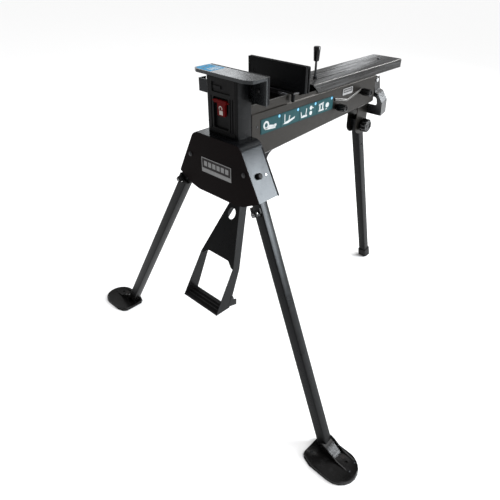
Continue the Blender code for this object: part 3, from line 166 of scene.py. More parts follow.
def moulded_plastic(name, colour, roughness, specular=0.35, grain=0.2):
    """Moulded plastic with a fine spark-eroded grain."""
    look = Look(name, colour, roughness, specular=specular)
    cells = look.add("ShaderNodeTexVoronoi", {"Vector": look.place, "Scale": 1500.0}).outputs["Distance"]
    fine = look.noise(900.0, 3.0, 0.6)
    cloud = look.noise(18.0, 4.0, 0.6)
    scuff = look.ramp(look.noise(45.0, 6.0, 0.8, look.stretched((1.0, 1.0, 8.0)), 0.6), 0.62, 0.74, 0.0, 0.3)
    base = look.mix(look.ramp(cloud, 0.3, 0.75), shade(colour, 0.8), shade(colour, 1.3))
    base = look.mix(scuff, base, shade(colour, 2.6))
    look.set("Base Color", base)
    look.set("Roughness", look.ramp(cloud, 0.3, 0.7, roughness - 0.05, roughness + 0.08))
    look.bump([(fine, grain, 0.0003), (cells, grain * 0.7, 0.0002)])
    return look.material


def plated_steel(name, colour, roughness, stretch=(1.0, 1.0, 1.0), tint=(0.62, 0.58, 0.46)):
    """Zinc-plated or brushed steel with a drawn grain and a faint passivation tint."""
    look = Look(name, colour, roughness, metallic=1.0)
    grain = look.noise(700.0, 3.0, 0.7, look.stretched(stretch))
    cloud = look.noise(30.0, 4.0, 0.65)
    base = look.mix(look.ramp(cloud, 0.4, 0.75, 0.0, 0.5), colour, tint)
    base = look.mix(look.ramp(grain, 0.45, 0.85, 0.0, 0.4), base, shade(colour, 0.55))
    look.set("Base Color", base)
    look.set("Roughness", look.ramp(grain, 0.3, 0.8, roughness - 0.08, roughness + 0.14))
    look.bump([(grain, 0.12, 0.0002)])
    return look.material


def rubber(name, colour):
    look = Look(name, colour, 0.82, specular=0.25)
    fine = look.noise(1200.0, 3.0, 0.7)
    cloud = look.noise(22.0, 5.0, 0.7)
    dust = look.ramp(cloud, 0.5, 0.8, 0.0, 0.35)
    look.set("Base Color", look.mix(dust, colour, (0.085, 0.082, 0.078)))
    look.set("Roughness", look.ramp(cloud, 0.3, 0.7, 0.72, 0.92))
    look.bump([(fine, 0.3, 0.0004)])
    return look.material


def printed_film(name, colour, roughness=0.32, dots=0.0, specular=0.45, coat=0.0):
    """Printed film: ink with faint mottling, a thin gloss layer and tiny dimples of the paint below."""
    look = Look(name, colour, roughness, specular=specular, coat=coat, coat_roughness=0.15)
    peel = look.noise(480.0, 2.0, 0.5)
    mottle = look.noise(160.0, 4.0, 0.7)
    cloud = look.noise(24.0, 3.0, 0.6)
    base = look.mix(look.ramp(mottle, 0.3, 0.75), shade(colour, 0.85), shade(colour, 1.15))
    if dots:
        print_dots = look.add("ShaderNodeTexVoronoi", {"Vector": look.place, "Scale": 420.0,
                                                       "Randomness": 0.2}).outputs["Distance"]
        base = look.mix(look.ramp(print_dots, 0.1, 0.4, dots, 0.0), base, shade(colour, 2.2))
    look.set("Base Color", base)
    look.set("Roughness", look.ramp(cloud, 0.3, 0.7, roughness - 0.06, roughness + 0.1))
    look.bump([(peel, 0.06, 0.0004)])
    return look.material


# Tints of a paint's reflections.
COOL, WARM, DUSKY = (0.90, 0.96, 1.0), (1.0, 0.93, 0.84), (1.0, 0.90, 0.89)

PAINT = powder_coat("black_powder_coat", (0.0036, 0.0039, 0.0046), 0.25, specular=0.17, tint=COOL, marks=0.35)
# Warmer and lighter copy of the black paint for the body: its colour and reflection tint are a painted warm
# reflection.
PAINT_WITH_WARM_REFLECTION = powder_coat("black_powder_coat_with_painted_warm_reflection", (0.0064, 0.0056, 0.0048), 0.34, specular=0.16, tint=WARM)
PAINT_LEG = powder_coat("black_powder_coat_leg", (0.0050, 0.0047, 0.0047), 0.29, specular=0.125,
                        tint=COOL, marks=0.6)
PAINT_FOOT = powder_coat("black_powder_coat_foot", (0.0036, 0.0034, 0.0034), 0.22, specular=0.22)
PAINT_FRONT = powder_coat("black_powder_coat_satin", (0.0032, 0.0034, 0.0037), 0.30, specular=0.08)
COVER = powder_coat("cover_powder_coat", (0.0036, 0.0022, 0.0022), 0.42, specular=0.025,
                    dust=(0.011, 0.008, 0.008), tint=DUSKY)
BEAM = powder_coat("beam_powder_coat", (0.0060, 0.0058, 0.0056), 0.20, specular=0.24,
                   tint=(1.0, 0.985, 0.96), streaks=0.20)
JAW_TOP = powder_coat("jaw_plate_powder_coat", (0.0070, 0.0074, 0.0082), 0.27, specular=0.36, coat=0.06,
                      tint=COOL)
PLASTIC = moulded_plastic("black_moulded_plastic", (0.0036, 0.0036, 0.0038), 0.46, specular=0.10)
PAD_PLASTIC = moulded_plastic("jaw_pad_plastic", (0.0024, 0.0026, 0.0031), 0.50, specular=0.07, grain=0.3)
KNOB_PLASTIC = moulded_plastic("knob_plastic", (0.0016, 0.0016, 0.0018), 0.18, specular=0.28, grain=0.06)
HANDLE_PLASTIC = moulded_plastic("handle_plastic", (0.0055, 0.0058, 0.0062), 0.26, specular=0.60, grain=0.12)
RED = moulded_plastic("red_lever_plastic", (0.092, 0.0024, 0.0026), 0.32, specular=0.035, grain=0.08)
RUBBER = rubber("sole_rubber", (0.007, 0.007, 0.007))
STEEL = plated_steel("zinc_plated_steel", (0.60, 0.61, 0.62), 0.30)
RAIL_STEEL = plated_steel("drawn_rail_steel", (0.070, 0.070, 0.074), 0.38, (6.0, 0.4, 6.0),
                          (0.060, 0.055, 0.050))
# Light grey paint for thin lines along edges and for the side bead: painted highlights.
HIGHLIGHT_PAINT = powder_coat("painted_highlight_coat", (0.060, 0.058, 0.054), 0.30, specular=0.34)
SPRING_STEEL = plated_steel("spring_steel", (0.30, 0.30, 0.31), 0.34, tint=(0.26, 0.24, 0.21))
BOLT_BLACK = plated_steel("black_oxide_steel", (0.040, 0.041, 0.044), 0.38, tint=(0.05, 0.045, 0.04))
TEAL = printed_film("teal_label_film", (0.011, 0.036, 0.040), dots=0.25, specular=0.03)
TEAL_PALE = printed_film("teal_label_tint", (0.017, 0.050, 0.055), dots=0.35, specular=0.03)
INK_WHITE = printed_film("white_label_ink", (0.36, 0.38, 0.38), 0.4)
INK_BLUE = printed_film("blue_label_ink", (0.10, 0.36, 0.62), 0.35)
INK_DARK = printed_film("dark_label_ink", (0.02, 0.035, 0.05), 0.4)
PLATE_GREY = printed_film("plate_grey_film", (0.20, 0.20, 0.20), 0.38, specular=0.3)
# Dark film for the plates' printed fields; on the feet it is painted shade where each ramp's floor has a
# slot.
DARK_FIELD_AND_SHADE = printed_film("dark_field_and_slot_shade_film", (0.012, 0.0095, 0.0095), 0.42, specular=0.15)
STICKER_BLUE = printed_film("jaw_sticker_film", (0.080, 0.245, 0.40), 0.30, dots=0.1, specular=0.0)
WHITE_PRINT = printed_film("lever_print", (0.42, 0.40, 0.37), 0.5, specular=0.2)

NODES_BY_LOOK = (
    (PAINT_FRONT, ("column_box", "moving_jaw", "body_end_bracket", "pedal_bracket", "rear_leg")),
    (PAINT_LEG, ("left_front_leg", "right_front_leg", "left_foot", "right_foot", "pedal_frame",
                 "pedal_tread")),
    (PAINT_WITH_WARM_REFLECTION, ("body_channel", "rear_leg_bracket")),
    (COVER, ("head_front_cover",)),
    (BEAM, ("slide_beam",)),
    (JAW_TOP, ("fixed_jaw",)),
    (PLASTIC, ("column_front_panel", "rail_glide_block", "left_side_plug", "right_side_plug",
               "left_leg_latch", "right_leg_latch")),
    (PAD_PLASTIC, ("fixed_jaw_pad", "moving_jaw_pad", "left_moving_jaw_screw", "right_moving_jaw_screw",
                   "left_jaw_guide_stud", "right_jaw_guide_stud")),
    (KNOB_PLASTIC, ("body_knob_1", "body_knob_2", "rear_leg_knob", "handle_grip")),
    (HANDLE_PLASTIC, ("rear_handle",)),
    (RED, ("lock_lever",)),
    (RUBBER, ("left_foot_sole", "right_foot_sole", "rear_foot_cap")),
    (STEEL, ("holding_plate", "pedal_link", "pedal_crank", "pedal_pivot_pin", "rear_leg_bolt",
             "rear_handle_pin", "left_column_bolt", "right_column_bolt")),
    (RAIL_STEEL, ("drive_rail",)),
    (SPRING_STEEL, ("pedal_return_spring",)),
    (BOLT_BLACK, ("handle_rod", "beam_rivet", "rail_screw", "left_pivot_bolt", "right_pivot_bolt",
                  "left_fixed_jaw_screw", "right_fixed_jaw_screw")),
    (TEAL, ("instruction_label",)),
    (PLATE_GREY, ("cover_nameplate", "blank_badge")),
)
LOOKS = {node_name: look for look, node_names in NODES_BY_LOOK for node_name in node_names}


# ---------------------------------------------------------------- CAD nodes

# Thin, round or replaced nodes, whose edges stay sharp.
NO_EDGE = {"instruction_label", "blank_badge", "cover_nameplate", "pedal_return_spring", "body_knob_1",
           "body_knob_2", "rear_leg_knob"}
USUAL_EDGE = 0.7               # mm of rounding on an edge
OTHER_EDGES = {"slide_beam": 0.9, "fixed_jaw": 0.9, "moving_jaw": 0.8, "rear_handle": 1.6,
               "left_foot": 1.2, "right_foot": 1.2, "lock_lever": 0.5, "fixed_jaw_pad": 0.8,
               "moving_jaw_pad": 0.8, "pedal_tread": 1.5, "rear_foot_cap": 1.5}


def soften(node):
    """Rounds a CAD node's edges a little, so that they catch the light, and smooths its curved faces."""
    mesh = node.data
    if "custom_normal" in mesh.attributes:
        mesh.attributes.remove(mesh.attributes["custom_normal"])
    mesh.polygons.foreach_set("use_smooth", [True] * len(mesh.polygons))
    weld = node.modifiers.new("weld", "WELD")
    weld.merge_threshold = 0.00002
    if node.name in NO_EDGE:
        split = node.modifiers.new("split", "EDGE_SPLIT")
        split.split_angle = math.radians(24)
        return
    edge = node.modifiers.new("edge", "BEVEL")
    edge.width = OTHER_EDGES.get(node.name, USUAL_EDGE) * MM
    edge.segments = 2
    edge.limit_method = "ANGLE"
    edge.angle_limit = math.radians(32)
    edge.harden_normals = True
    edge.use_clamp_overlap = True


for node_name, node in NODES.items():
    node.data.materials.clear()
    node.data.materials.append(LOOKS.get(node_name, PAINT))
    soften(node)


# ---------------------------------------------------------------- mesh tools for the small pieces

def finish_piece(name, mesh, material, body, smooth=False):
    """Turns a bmesh into a named piece that rides on a body."""
    bmesh.ops.recalc_face_normals(mesh, faces=mesh.faces)
    data = bpy.data.meshes.new(name)
    mesh.to_mesh(data)
    mesh.free()
    data.materials.append(material)
    piece = bpy.data.objects.new(name, data)
    bpy.context.scene.collection.objects.link(piece)
    if smooth:
        data.polygons.foreach_set("use_smooth", [True] * len(data.polygons))
        data.set_sharp_from_angle(angle=math.radians(38))
    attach(piece, body)
    return piece


def add_plate(mesh, outline, place, low, high, hole=None):
    """An extruded outline, where place turns (u, v, height) in mm into a point.

    hole is an inner outline with as many points, which makes the plate a ring.
    """
    rings = [[mesh.verts.new(place(u, v, level)) for u, v in outline] for level in (low, high)]
    count = len(outline)
    if hole is None:
        mesh.faces.new(rings[0])
        mesh.faces.new(rings[1])
    else:
        inner = [[mesh.verts.new(place(u, v, level)) for u, v in hole] for level in (low, high)]
        for k in range(count):
            n = (k + 1) % count
            mesh.faces.new((rings[0][k], rings[0][n], inner[0][n], inner[0][k]))
            mesh.faces.new((rings[1][k], rings[1][n], inner[1][n], inner[1][k]))
            mesh.faces.new((inner[0][k], inner[0][n], inner[1][n], inner[1][k]))
    for k in range(count):
        n = (k + 1) % count
        mesh.faces.new((rings[0][k], rings[0][n], rings[1][n], rings[1][k]))


def arc(u, v, radius, start, end, steps):
    """Points along an arc round (u, v), with both ends; angles in degrees."""
    angles = [math.radians(start + (end - start) * k / steps) for k in range(steps + 1)]
    return [(u + radius * math.cos(angle), v + radius * math.sin(angle)) for angle in angles]


def rect(u0, v0, u1, v1, corner=0.0, steps=3):
    """Outline of a rectangle, with rounded corners where corner is given."""
    if corner <= 0:
        return [(u0, v0), (u1, v0), (u1, v1), (u0, v1)]
    points = []
    for cu, cv, start in ((u1 - corner, v0 + corner, -90), (u1 - corner, v1 - corner, 0),
                          (u0 + corner, v1 - corner, 90), (u0 + corner, v0 + corner, 180)):
        points += arc(cu, cv, corner, start, start + 90, steps)
    return points


def disc(u, v, radius, steps=24, squash=1.0):
    """Outline of a circle, or of an ellipse that is squash times as high as it is wide."""
    angles = [2 * math.pi * k / steps for k in range(steps)]
    return [(u + radius * math.cos(angle), v + radius * squash * math.sin(angle)) for angle in angles]


def arc_band(u, v, radius, width, start, end, steps=14):
    """Outline of a part of a ring, angles in degrees."""
    outer = arc(u, v, radius + width / 2, start, end, steps)
    inner = arc(u, v, radius - width / 2, start, end, steps)
    return outer + inner[::-1]


def bar(u0, v0, u1, v1, width):
    """Outline of a straight bar between two points."""
    along = Vector((u1 - u0, v1 - v0)).normalized() * (width / 2)
    side = Vector((-along.y, along.x))
    a, b = Vector((u0, v0)), Vector((u1, v1))
    return [tuple(p) for p in (a - side, b - side, b + side, a + side)]


def add_lathe(mesh, profile, centre, axis, steps=20):
    """A turned body: profile is (radius, height) in mm along axis from centre, a point in metres."""
    axis = Vector(axis).normalized()
    across = axis.orthogonal().normalized()
    other = axis.cross(across)
    rings = []
    for radius, height in profile:
        if radius <= 0:
            rings.append([mesh.verts.new(centre + axis * height * MM)])
            continue
        ring = []
        for k in range(steps):
            angle = 2 * math.pi * k / steps
            ring.append(mesh.verts.new(centre + (axis * height + across * radius * math.cos(angle)
                                                 + other * radius * math.sin(angle)) * MM))
        rings.append(ring)
    for low, high in zip(rings, rings[1:]):
        for k in range(steps):
            n = (k + 1) % steps
            # A ring of one vertex closes the end, and its faces are triangles.
            corners = []
            for corner in (low[k % len(low)], low[n % len(low)], high[n % len(high)], high[k % len(high)]):
                if corner not in corners:
                    corners.append(corner)
            if len(corners) > 2:
                mesh.faces.new(corners)


def rivet(mesh, place, axis, radius, height):
    """A low domed rivet head."""
    add_lathe(mesh, [(radius, 0.0), (radius, height * 0.25), (radius * 0.86, height * 0.7),
                     (radius * 0.5, height * 0.95), (0.0, height)], place, axis, 16)


def soften_edges(mesh, edges, width):
    """Rounds edges of a bmesh by width mm."""
    bmesh.ops.bevel(mesh, geom=edges, offset=width * MM, segments=2, affect="EDGES", clamp_overlap=True)


def prints(name, outlines, place, low, high, material, body="frame", holes=()):
    """One printed piece from several outlines; holes is (outer, inner) pairs drawn as rings."""
    mesh = bmesh.new()
    for outline in outlines:
        add_plate(mesh, outline, place, low, high)
    for outer, inner in holes:
        add_plate(mesh, outer, place, low, high, inner)
    return finish_piece(name, mesh, material, body)


# ---------------------------------------------------------------- faces to build on

SIDES = ((1, "right"), (-1, "left"))


def side_face(x):
    """Places on a face that looks along +X: u is Y from the jaw's face, v is Z."""
    return lambda u, v, h: spot(x + h, u, v)


def front_face(y):
    """Places on a face that looks along -Y: u is X, v is Z."""
    return lambda u, v, h: spot(u, y - h, v)


def top_face(z):
    """Places on a face that looks up: u is X, v is Y from the jaw's face."""
    return lambda u, v, h: spot(u, v, z + h)


def section(u, v, h):
    """Places for an outline in X and Z that is extruded along Y."""
    return spot(u, h, v)


def in_mm(corners):
    """The low and the high corner of a box in the units of spot()."""
    return [(corner.x / MM, (corner.y - JAW_Y) / MM, corner.z / MM) for corner in corners]


# ---------------------------------------------------------------- labels and plates

LIFT = 0.02                    # mm between a face and what lies on it
FILM = 0.08                    # mm from a face to the top of a printed film
PLATE = 0.10                   # mm from a face to the top of a plate's dark field
STICKER = 0.16                 # mm from a face to the top of the sticker
INK = 0.12                     # mm that printed shapes stand above what they are on


def instruction_label():
    """Four plain panels with generic drawings of a wheel, boards and stands. No lettering."""
    (_, _, low), (x, _, high) = in_mm(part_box("instruction_label"))
    face = side_face(x)
    first_panel, panel_step, panel_end = 21.0, 74.2, 71.0
    starts = [first_panel + panel_step * k for k in range(4)]
    panels = [rect(s + 1.5, low + 2.0, s + panel_end, high - 2.0, 2.0) for s in starts]
    prints("label_panel_tints", panels, face, LIFT, FILM, TEAL_PALE)
    dots = [disc(s + 66.0, high - 5.2, 3.6) for s in starts]
    prints("label_panel_dots", dots, face, FILM, FILM + INK, INK_BLUE)

    mid = (low + high) / 2
    # A wheel on a board.
    s = starts[0]
    wheel = (disc(s + 17, mid + 1.5, 10.5), disc(s + 17, mid + 1.5, 5.5))
    shapes = [bar(s + 14, mid - 7.5, s + 52, mid - 11.0, 5.0),
              bar(s + 26, mid - 2.5, s + 48, mid - 7.0, 5.5),
              rect(s + 46, mid - 8.5, s + 55, mid - 2.5, 1.5)]
    # A post and a beam held between jaws.
    s = starts[1]
    shapes += [bar(s + 14, mid - 9, s + 13, mid + 13, 3.0),
               [(s + 6, mid - 12), (s + 26, mid - 13), (s + 52, mid - 6), (s + 54, mid - 1),
                (s + 44, mid - 3), (s + 20, mid - 7)],
               bar(s + 30, mid - 5, s + 33, mid + 6, 3.0)]
    # A board across two trestles, and two small wheels.
    s = starts[2]
    shapes += [bar(s + 5, mid + 3, s + 8, mid - 12, 2.6),
               [(s + 7, mid - 13), (s + 32, mid - 13), (s + 30, mid - 8), (s + 12, mid - 7)],
               bar(s + 26, mid - 8, s + 28, mid + 9, 3.0),
               disc(s + 47, mid + 6.5, 5.6, 18),
               disc(s + 47, mid - 7.5, 5.6, 18),
               bar(s + 52, mid + 6.5, s + 59, mid + 4, 2.6)]
    # A frame between two uprights, and a round part.
    s = starts[3]
    shapes += [[(s + 8, mid + 8), (s + 30, mid + 11), (s + 30, mid + 7), (s + 8, mid + 3)],
               [(s + 8, mid - 12), (s + 32, mid - 12), (s + 32, mid - 8), (s + 8, mid - 8)],
               bar(s + 13, mid - 9, s + 13, mid + 6, 5.0),
               bar(s + 26, mid - 9, s + 26, mid + 8, 5.0),
               disc(s + 47, mid - 1, 8.0, 18, 0.85),
               bar(s + 40, mid - 12, s + 46, mid - 11, 2.2)]
    prints("label_drawings", shapes, face, FILM, FILM + INK, INK_WHITE, holes=[wheel])


def cover_nameplate():
    """A dark field on the grey plate, with six plain blocks where lettering would be."""
    (_, y, _), _ = in_mm(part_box("cover_nameplate"))
    field_top = 0.05
    face = front_face(y + 0.4)
    prints("nameplate_field", [rect(-51.4, 636.6, 51.4, 661.4)], face, -0.25, field_top, DARK_FIELD_AND_SHADE)
    first, step, wide = -45.0, 15.6, 11.4
    blocks = [rect(first + step * k, 642.5, first + step * k + wide, 655.5, 1.0) for k in range(6)]
    prints("nameplate_blocks", blocks, face, field_top, field_top + INK, PLATE_GREY)


def badge():
    """The body's small plate: a dark field with eight plain bars."""
    _, (x, _, _) = in_mm(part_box("blank_badge"))
    face = side_face(x)
    prints("badge_field", [rect(365.0, 754.2, 408.0, 764.2, 1.0)], face, LIFT, PLATE, DARK_FIELD_AND_SHADE)
    first, step, wide = 368.6, 4.6, 2.6
    bars = [rect(first + step * k, 756.6, first + wide + step * k, 761.8, 0.4) for k in range(8)]
    prints("badge_bars", bars, face, PLATE, PLATE + 0.06, PLATE_GREY)


def jaw_sticker():
    """Blue sticker over one third of the fixed jaw's top, with plain pale and dark blocks."""
    _, (_, _, top) = in_mm(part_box("fixed_jaw"))
    face = top_face(top)
    outline = [(-94.0, -12.0), (-94.0, -53.5), (-81.5, -60.5), (-36.0, -60.8), (-36.0, -12.0)]
    prints("jaw_sticker", [outline], face, LIFT, STICKER, STICKER_BLUE)
    lines = [rect(-62.0, -50.0 + 9 * k, -40.0, -45.5 + 9 * k, 0.8) for k in range(4)]
    prints("jaw_sticker_lines", lines, face, STICKER, STICKER + 0.10, INK_WHITE)
    marks = [disc(-82.0, -30.0, 4.6), disc(-74.0, -48.0, 4.2), bar(-88.0, -20.0, -70.0, -18.0, 2.0)]
    prints("jaw_sticker_marks", marks, face, STICKER, STICKER + 0.10, INK_DARK)


def lever_print():
    """An open padlock, drawn plainly."""
    (_, y, _), _ = in_mm(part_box("lock_lever"))
    x = 0.5
    shapes = [rect(x - 6.0, 776.5, x + 6.0, 786.5, 1.2), arc_band(x - 1.5, 791.5, 4.9, 2.5, -35, 205),
              bar(x - 6.2, 791.0, x - 6.2, 788.0, 2.5)]
    prints("lever_padlock", shapes, front_face(y), LIFT, LIFT + INK, WHITE_PRINT, "lever")


# ---------------------------------------------------------------- small hardware

# The head's slanted sides start at this place in X and Z and run so far outwards over so much of a drop.
HEAD_X, HEAD_Z = 90.0, 708.0
HEAD_RUN, HEAD_DROP = 57.2, 108.0


def head_rivets():
    """A bright blind rivet beside each plug, on the slanted side of the head."""
    z = 652.0
    x = HEAD_X + HEAD_RUN * (HEAD_Z - z) / HEAD_DROP + 0.1
    for side, name in SIDES:
        mesh = bmesh.new()
        rivet(mesh, spot(side * x, -34.0, z), (side * HEAD_DROP, 0.0, HEAD_RUN), 3.3, 1.5)
        finish_piece(f"{name}_head_rivet", mesh, STEEL, "frame", True)


def head_rear_rims():
    """The rear plate's edge stands a little proud of the head's slanted sides."""
    outline = [(88.5, 709.5), (91.9, 707.9), (149.4, 599.2), (146.6, 598.0)]
    for side, name in SIDES:
        mesh = bmesh.new()
        add_plate(mesh, [(side * x, z) for x, z in outline], section, -18.0, -14.2)
        soften_edges(mesh, mesh.edges[:], 0.5)
        finish_piece(f"{name}_head_rim", mesh, PLASTIC, "frame", True)


def side_bead():
    """Pressed V-shaped bead on the body's side, with a narrow crest; the whole bead is painted light grey as
    a painted highlight.
    """
    path = [Vector(point) for point in ((325.0, 745.2), (387.0, 730.5), (459.0, 747.2))]
    profile = ((-3.4, 1.0), (-1.2, 3.0), (-0.5, 3.35), (0.5, 3.35), (1.2, 3.0), (3.4, 1.0))
    face = side_face(BODY_X)
    mesh = bmesh.new()
    rings = []
    for k, point in enumerate(path):
        before = point - path[max(k - 1, 0)]
        after = path[min(k + 1, len(path) - 1)] - point
        along = (before.normalized() + after.normalized()).normalized()
        across = Vector((-along.y, along.x))
        ring = []
        for offset, height in profile:
            q = point + across * offset
            ring.append(mesh.verts.new(face(q.x, q.y, height)))
        rings.append(ring)
    for low, high in zip(rings, rings[1:]):
        for k in range(len(profile)):
            n = (k + 1) % len(profile)
            mesh.faces.new((low[k], low[n], high[n], high[k]))
    mesh.faces.new(rings[0])
    mesh.faces.new(rings[-1])
    # The bead's light grey paint is a painted highlight.
    finish_piece("side_bead", mesh, HIGHLIGHT_PAINT, "frame", True)


# A knob's profile: (share of the radius, share of the length, share of the flutes' depth).
KNOB_PROFILE = [(0.0, 0.0, 0), (0.74, 0.0, 0), (0.80, 0.06, 0), (0.90, 0.12, 0.4), (1.0, 0.20, 1.0),
                (1.0, 0.82, 1.0), (0.95, 0.93, 0.9), (0.84, 0.995, 0.5), (0.66, 1.0, 0), (0.58, 0.965, 0),
                (0.54, 0.90, 0), (0.34, 0.89, 0), (0.30, 0.93, 0), (0.22, 0.95, 0), (0.0, 0.95, 0)]


def fluted_knob(name, node, body, flutes, depth, start_x=0.0):
    """Moulded knob: sharp flutes round it, a rounded rim, and a recessed end with a hub.

    It starts where the node does, or at start_x mm where that is further out.
    """
    low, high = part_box(node)
    centre_y, centre_z = (low.y + high.y) / 2, (low.z + high.z) / 2
    radius = (high.z - low.z) / 2
    start = max(low.x, start_x * MM)
    length = high.x - start
    steps = flutes * 8
    mesh = bmesh.new()
    rings = []
    for reach, along, share in KNOB_PROFILE:
        x = start + length * along
        if reach == 0:
            rings.append([mesh.verts.new((x, centre_y, centre_z))])
            continue
        ring = []
        for k in range(steps):
            angle = 2 * math.pi * k / steps
            valley = abs(math.cos(flutes * angle / 2)) ** 3
            r = radius * reach * (1 - depth * share * valley)
            ring.append(mesh.verts.new((x, centre_y + r * math.cos(angle), centre_z + r * math.sin(angle))))
        rings.append(ring)
    for a, b in zip(rings, rings[1:]):
        for k in range(steps):
            n = (k + 1) % steps
            if len(a) == 1:
                mesh.faces.new((a[0], b[n], b[k]))
            elif len(b) == 1:
                mesh.faces.new((a[k], a[n], b[0]))
            else:
                mesh.faces.new((a[k], a[n], b[n], b[k]))
    piece = finish_piece(name, mesh, KNOB_PLASTIC, body, True)
    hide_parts(node)


# ---------------------------------------------------------------- feet

# Places on a foot are in mm from where its leg lands: u outwards and v along Y.
FOOT_INNER, FOOT_OUTER = -36.0, 100.0
FOOT_HALF = 49.0               # mm, half of its width and the radius of its outer end
FOOT_CORNER = 13.0             # mm, the radius of its inner corners
FOOT_TOP = 7.6                 # mm above the floor
RAMP_SHIFT = 20.0              # mm from the foot's middle line to the ramp's


def foot_curve(grow):
    """D-shaped outline of a foot, grown by some mm: rounded inner corners and a round outer end."""
    inner, half = FOOT_INNER - grow, FOOT_HALF + grow
    corner_u, corner_v = inner + FOOT_CORNER, half * 0.82 - FOOT_CORNER
    shoulder_u = inner + 38.0
    points = arc(corner_u, -corner_v, FOOT_CORNER, 270, 180, 4)
    points += arc(corner_u, corner_v, FOOT_CORNER, 180, 90, 4)
    points.append((shoulder_u, half))
    points += arc(FOOT_OUTER - FOOT_HALF, 0.0, half, 90, -90, 16)
    points.append((shoulder_u, -half))
    return points


def foot_plate(name, place):
    """Pressed plate with a rolled rim and a round hole. It stands in for the CAD foot."""
    mesh = bmesh.new()
    levels = [(0.0, 3.3), (0.6, 4.2), (0.6, 6.0), (-0.2, 8.2), (-1.8, 9.0), (-3.6, 8.4), (-5.4, FOOT_TOP)]
    rings = [[mesh.verts.new(place(u, v, z)) for u, v in foot_curve(grow)] for grow, z in levels]
    count = len(rings[0])
    for a, b in zip(rings, rings[1:]):
        for k in range(count):
            n = (k + 1) % count
            mesh.faces.new((a[k], a[n], b[n], b[k]))
    mesh.faces.new(rings[0])
    hole_u, hole_v, hole_radius, hole_floor = 60.0, 20.0, 4.2, 4.4
    hole_top, hole_low = [], []
    for u, v in foot_curve(levels[-1][0]):
        angle = math.atan2(v - hole_v, u - hole_u)
        x, y = hole_u + hole_radius * math.cos(angle), hole_v + hole_radius * math.sin(angle)
        hole_top.append(mesh.verts.new(place(x, y, FOOT_TOP)))
        hole_low.append(mesh.verts.new(place(x, y, hole_floor)))
    for k in range(count):
        n = (k + 1) % count
        mesh.faces.new((rings[-1][k], rings[-1][n], hole_top[n], hole_top[k]))
        mesh.faces.new((hole_top[k], hole_top[n], hole_low[n], hole_low[k]))
    mesh.faces.new(hole_low)
    shell = finish_piece(f"{name}_foot_plate", mesh, PAINT_FOOT, f"{name}_leg", True)
    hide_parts(f"{name}_foot")


def foot_ramp(name, place):
    """Channel-shaped ramp behind the leg: a saddle between two flanges that run out along the plate."""
    def upright(u, v, h):
        return place(u, RAMP_SHIFT + h, v)

    mesh = bmesh.new()
    inner, outer = 16.8, 20.0
    saddle = [(-2, 7.0), (-9, 28), (-7, 32), (0, 31.5), (9, 27), (19, 20), (28, 14), (34, 10.5), (37, 7.0)]
    flange = [(-6, 7.0), (-12, 32), (-9, 37), (-2, 37.5), (8, 33.5), (20, 26), (32, 19), (44, 13.5),
              (58, 11.0), (70, 9.6), (75, 7.0)]
    add_plate(mesh, saddle, upright, -17.0, 17.0)
    add_plate(mesh, flange, upright, -outer, -inner)
    add_plate(mesh, flange, upright, inner, outer)
    bmesh.ops.recalc_face_normals(mesh, faces=mesh.faces)
    sharp = [e for e in mesh.edges if len(e.link_faces) == 2 and e.calc_face_angle(0) > math.radians(50)]
    soften_edges(mesh, sharp, 0.8)
    finish_piece(f"{name}_foot_ramp", mesh, PAINT_FOOT, f"{name}_leg", True)


def pressed_foot(side, name):
    """Foot with its plate, its ramp, four pressed dimples, and a dark patch of painted shade for the small
    slot in the ramp's floor.
    """
    low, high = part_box(f"{name}_foot")
    landing_x = (high.x if side > 0 else -low.x) / MM - FOOT_OUTER
    centre_y = ((low.y + high.y) / 2 - JAW_Y) / MM

    def place(u, v, h):
        return spot(side * (landing_x + u), centre_y + v, h)

    foot_plate(name, place)
    foot_ramp(name, place)
    mesh = bmesh.new()
    for u, v in ((80.0, 4.0), (76.0, 33.0), (-21.0, -18.0), (-21.0, 14.0)):
        rivet(mesh, place(u, v, FOOT_TOP - 0.1), (0, 0, 1), 3.6, 1.9)
    finish_piece(f"{name}_foot_dimples", mesh, PAINT, f"{name}_leg", True)
    # A dark patch of painted shade where the ramp's floor has a small slot.
    slot_shade = rect(39.0, RAMP_SHIFT + 2.0, 50.0, RAMP_SHIFT + 12.0, 1.5)
    prints(f"{name}_foot_slot_shade", [slot_shade], place, FOOT_TOP - 0.2, FOOT_TOP + 0.3, DARK_FIELD_AND_SHADE, f"{name}_leg")


# ---------------------------------------------------------------- latches

# How far a leg goes outwards and forwards, and the place of the right one's pivot.
LEG_SPLAY, LEG_LEAN = math.radians(27.8), math.radians(6.2)
LEG_PIVOT = (97.0, -60.5, 656.5)


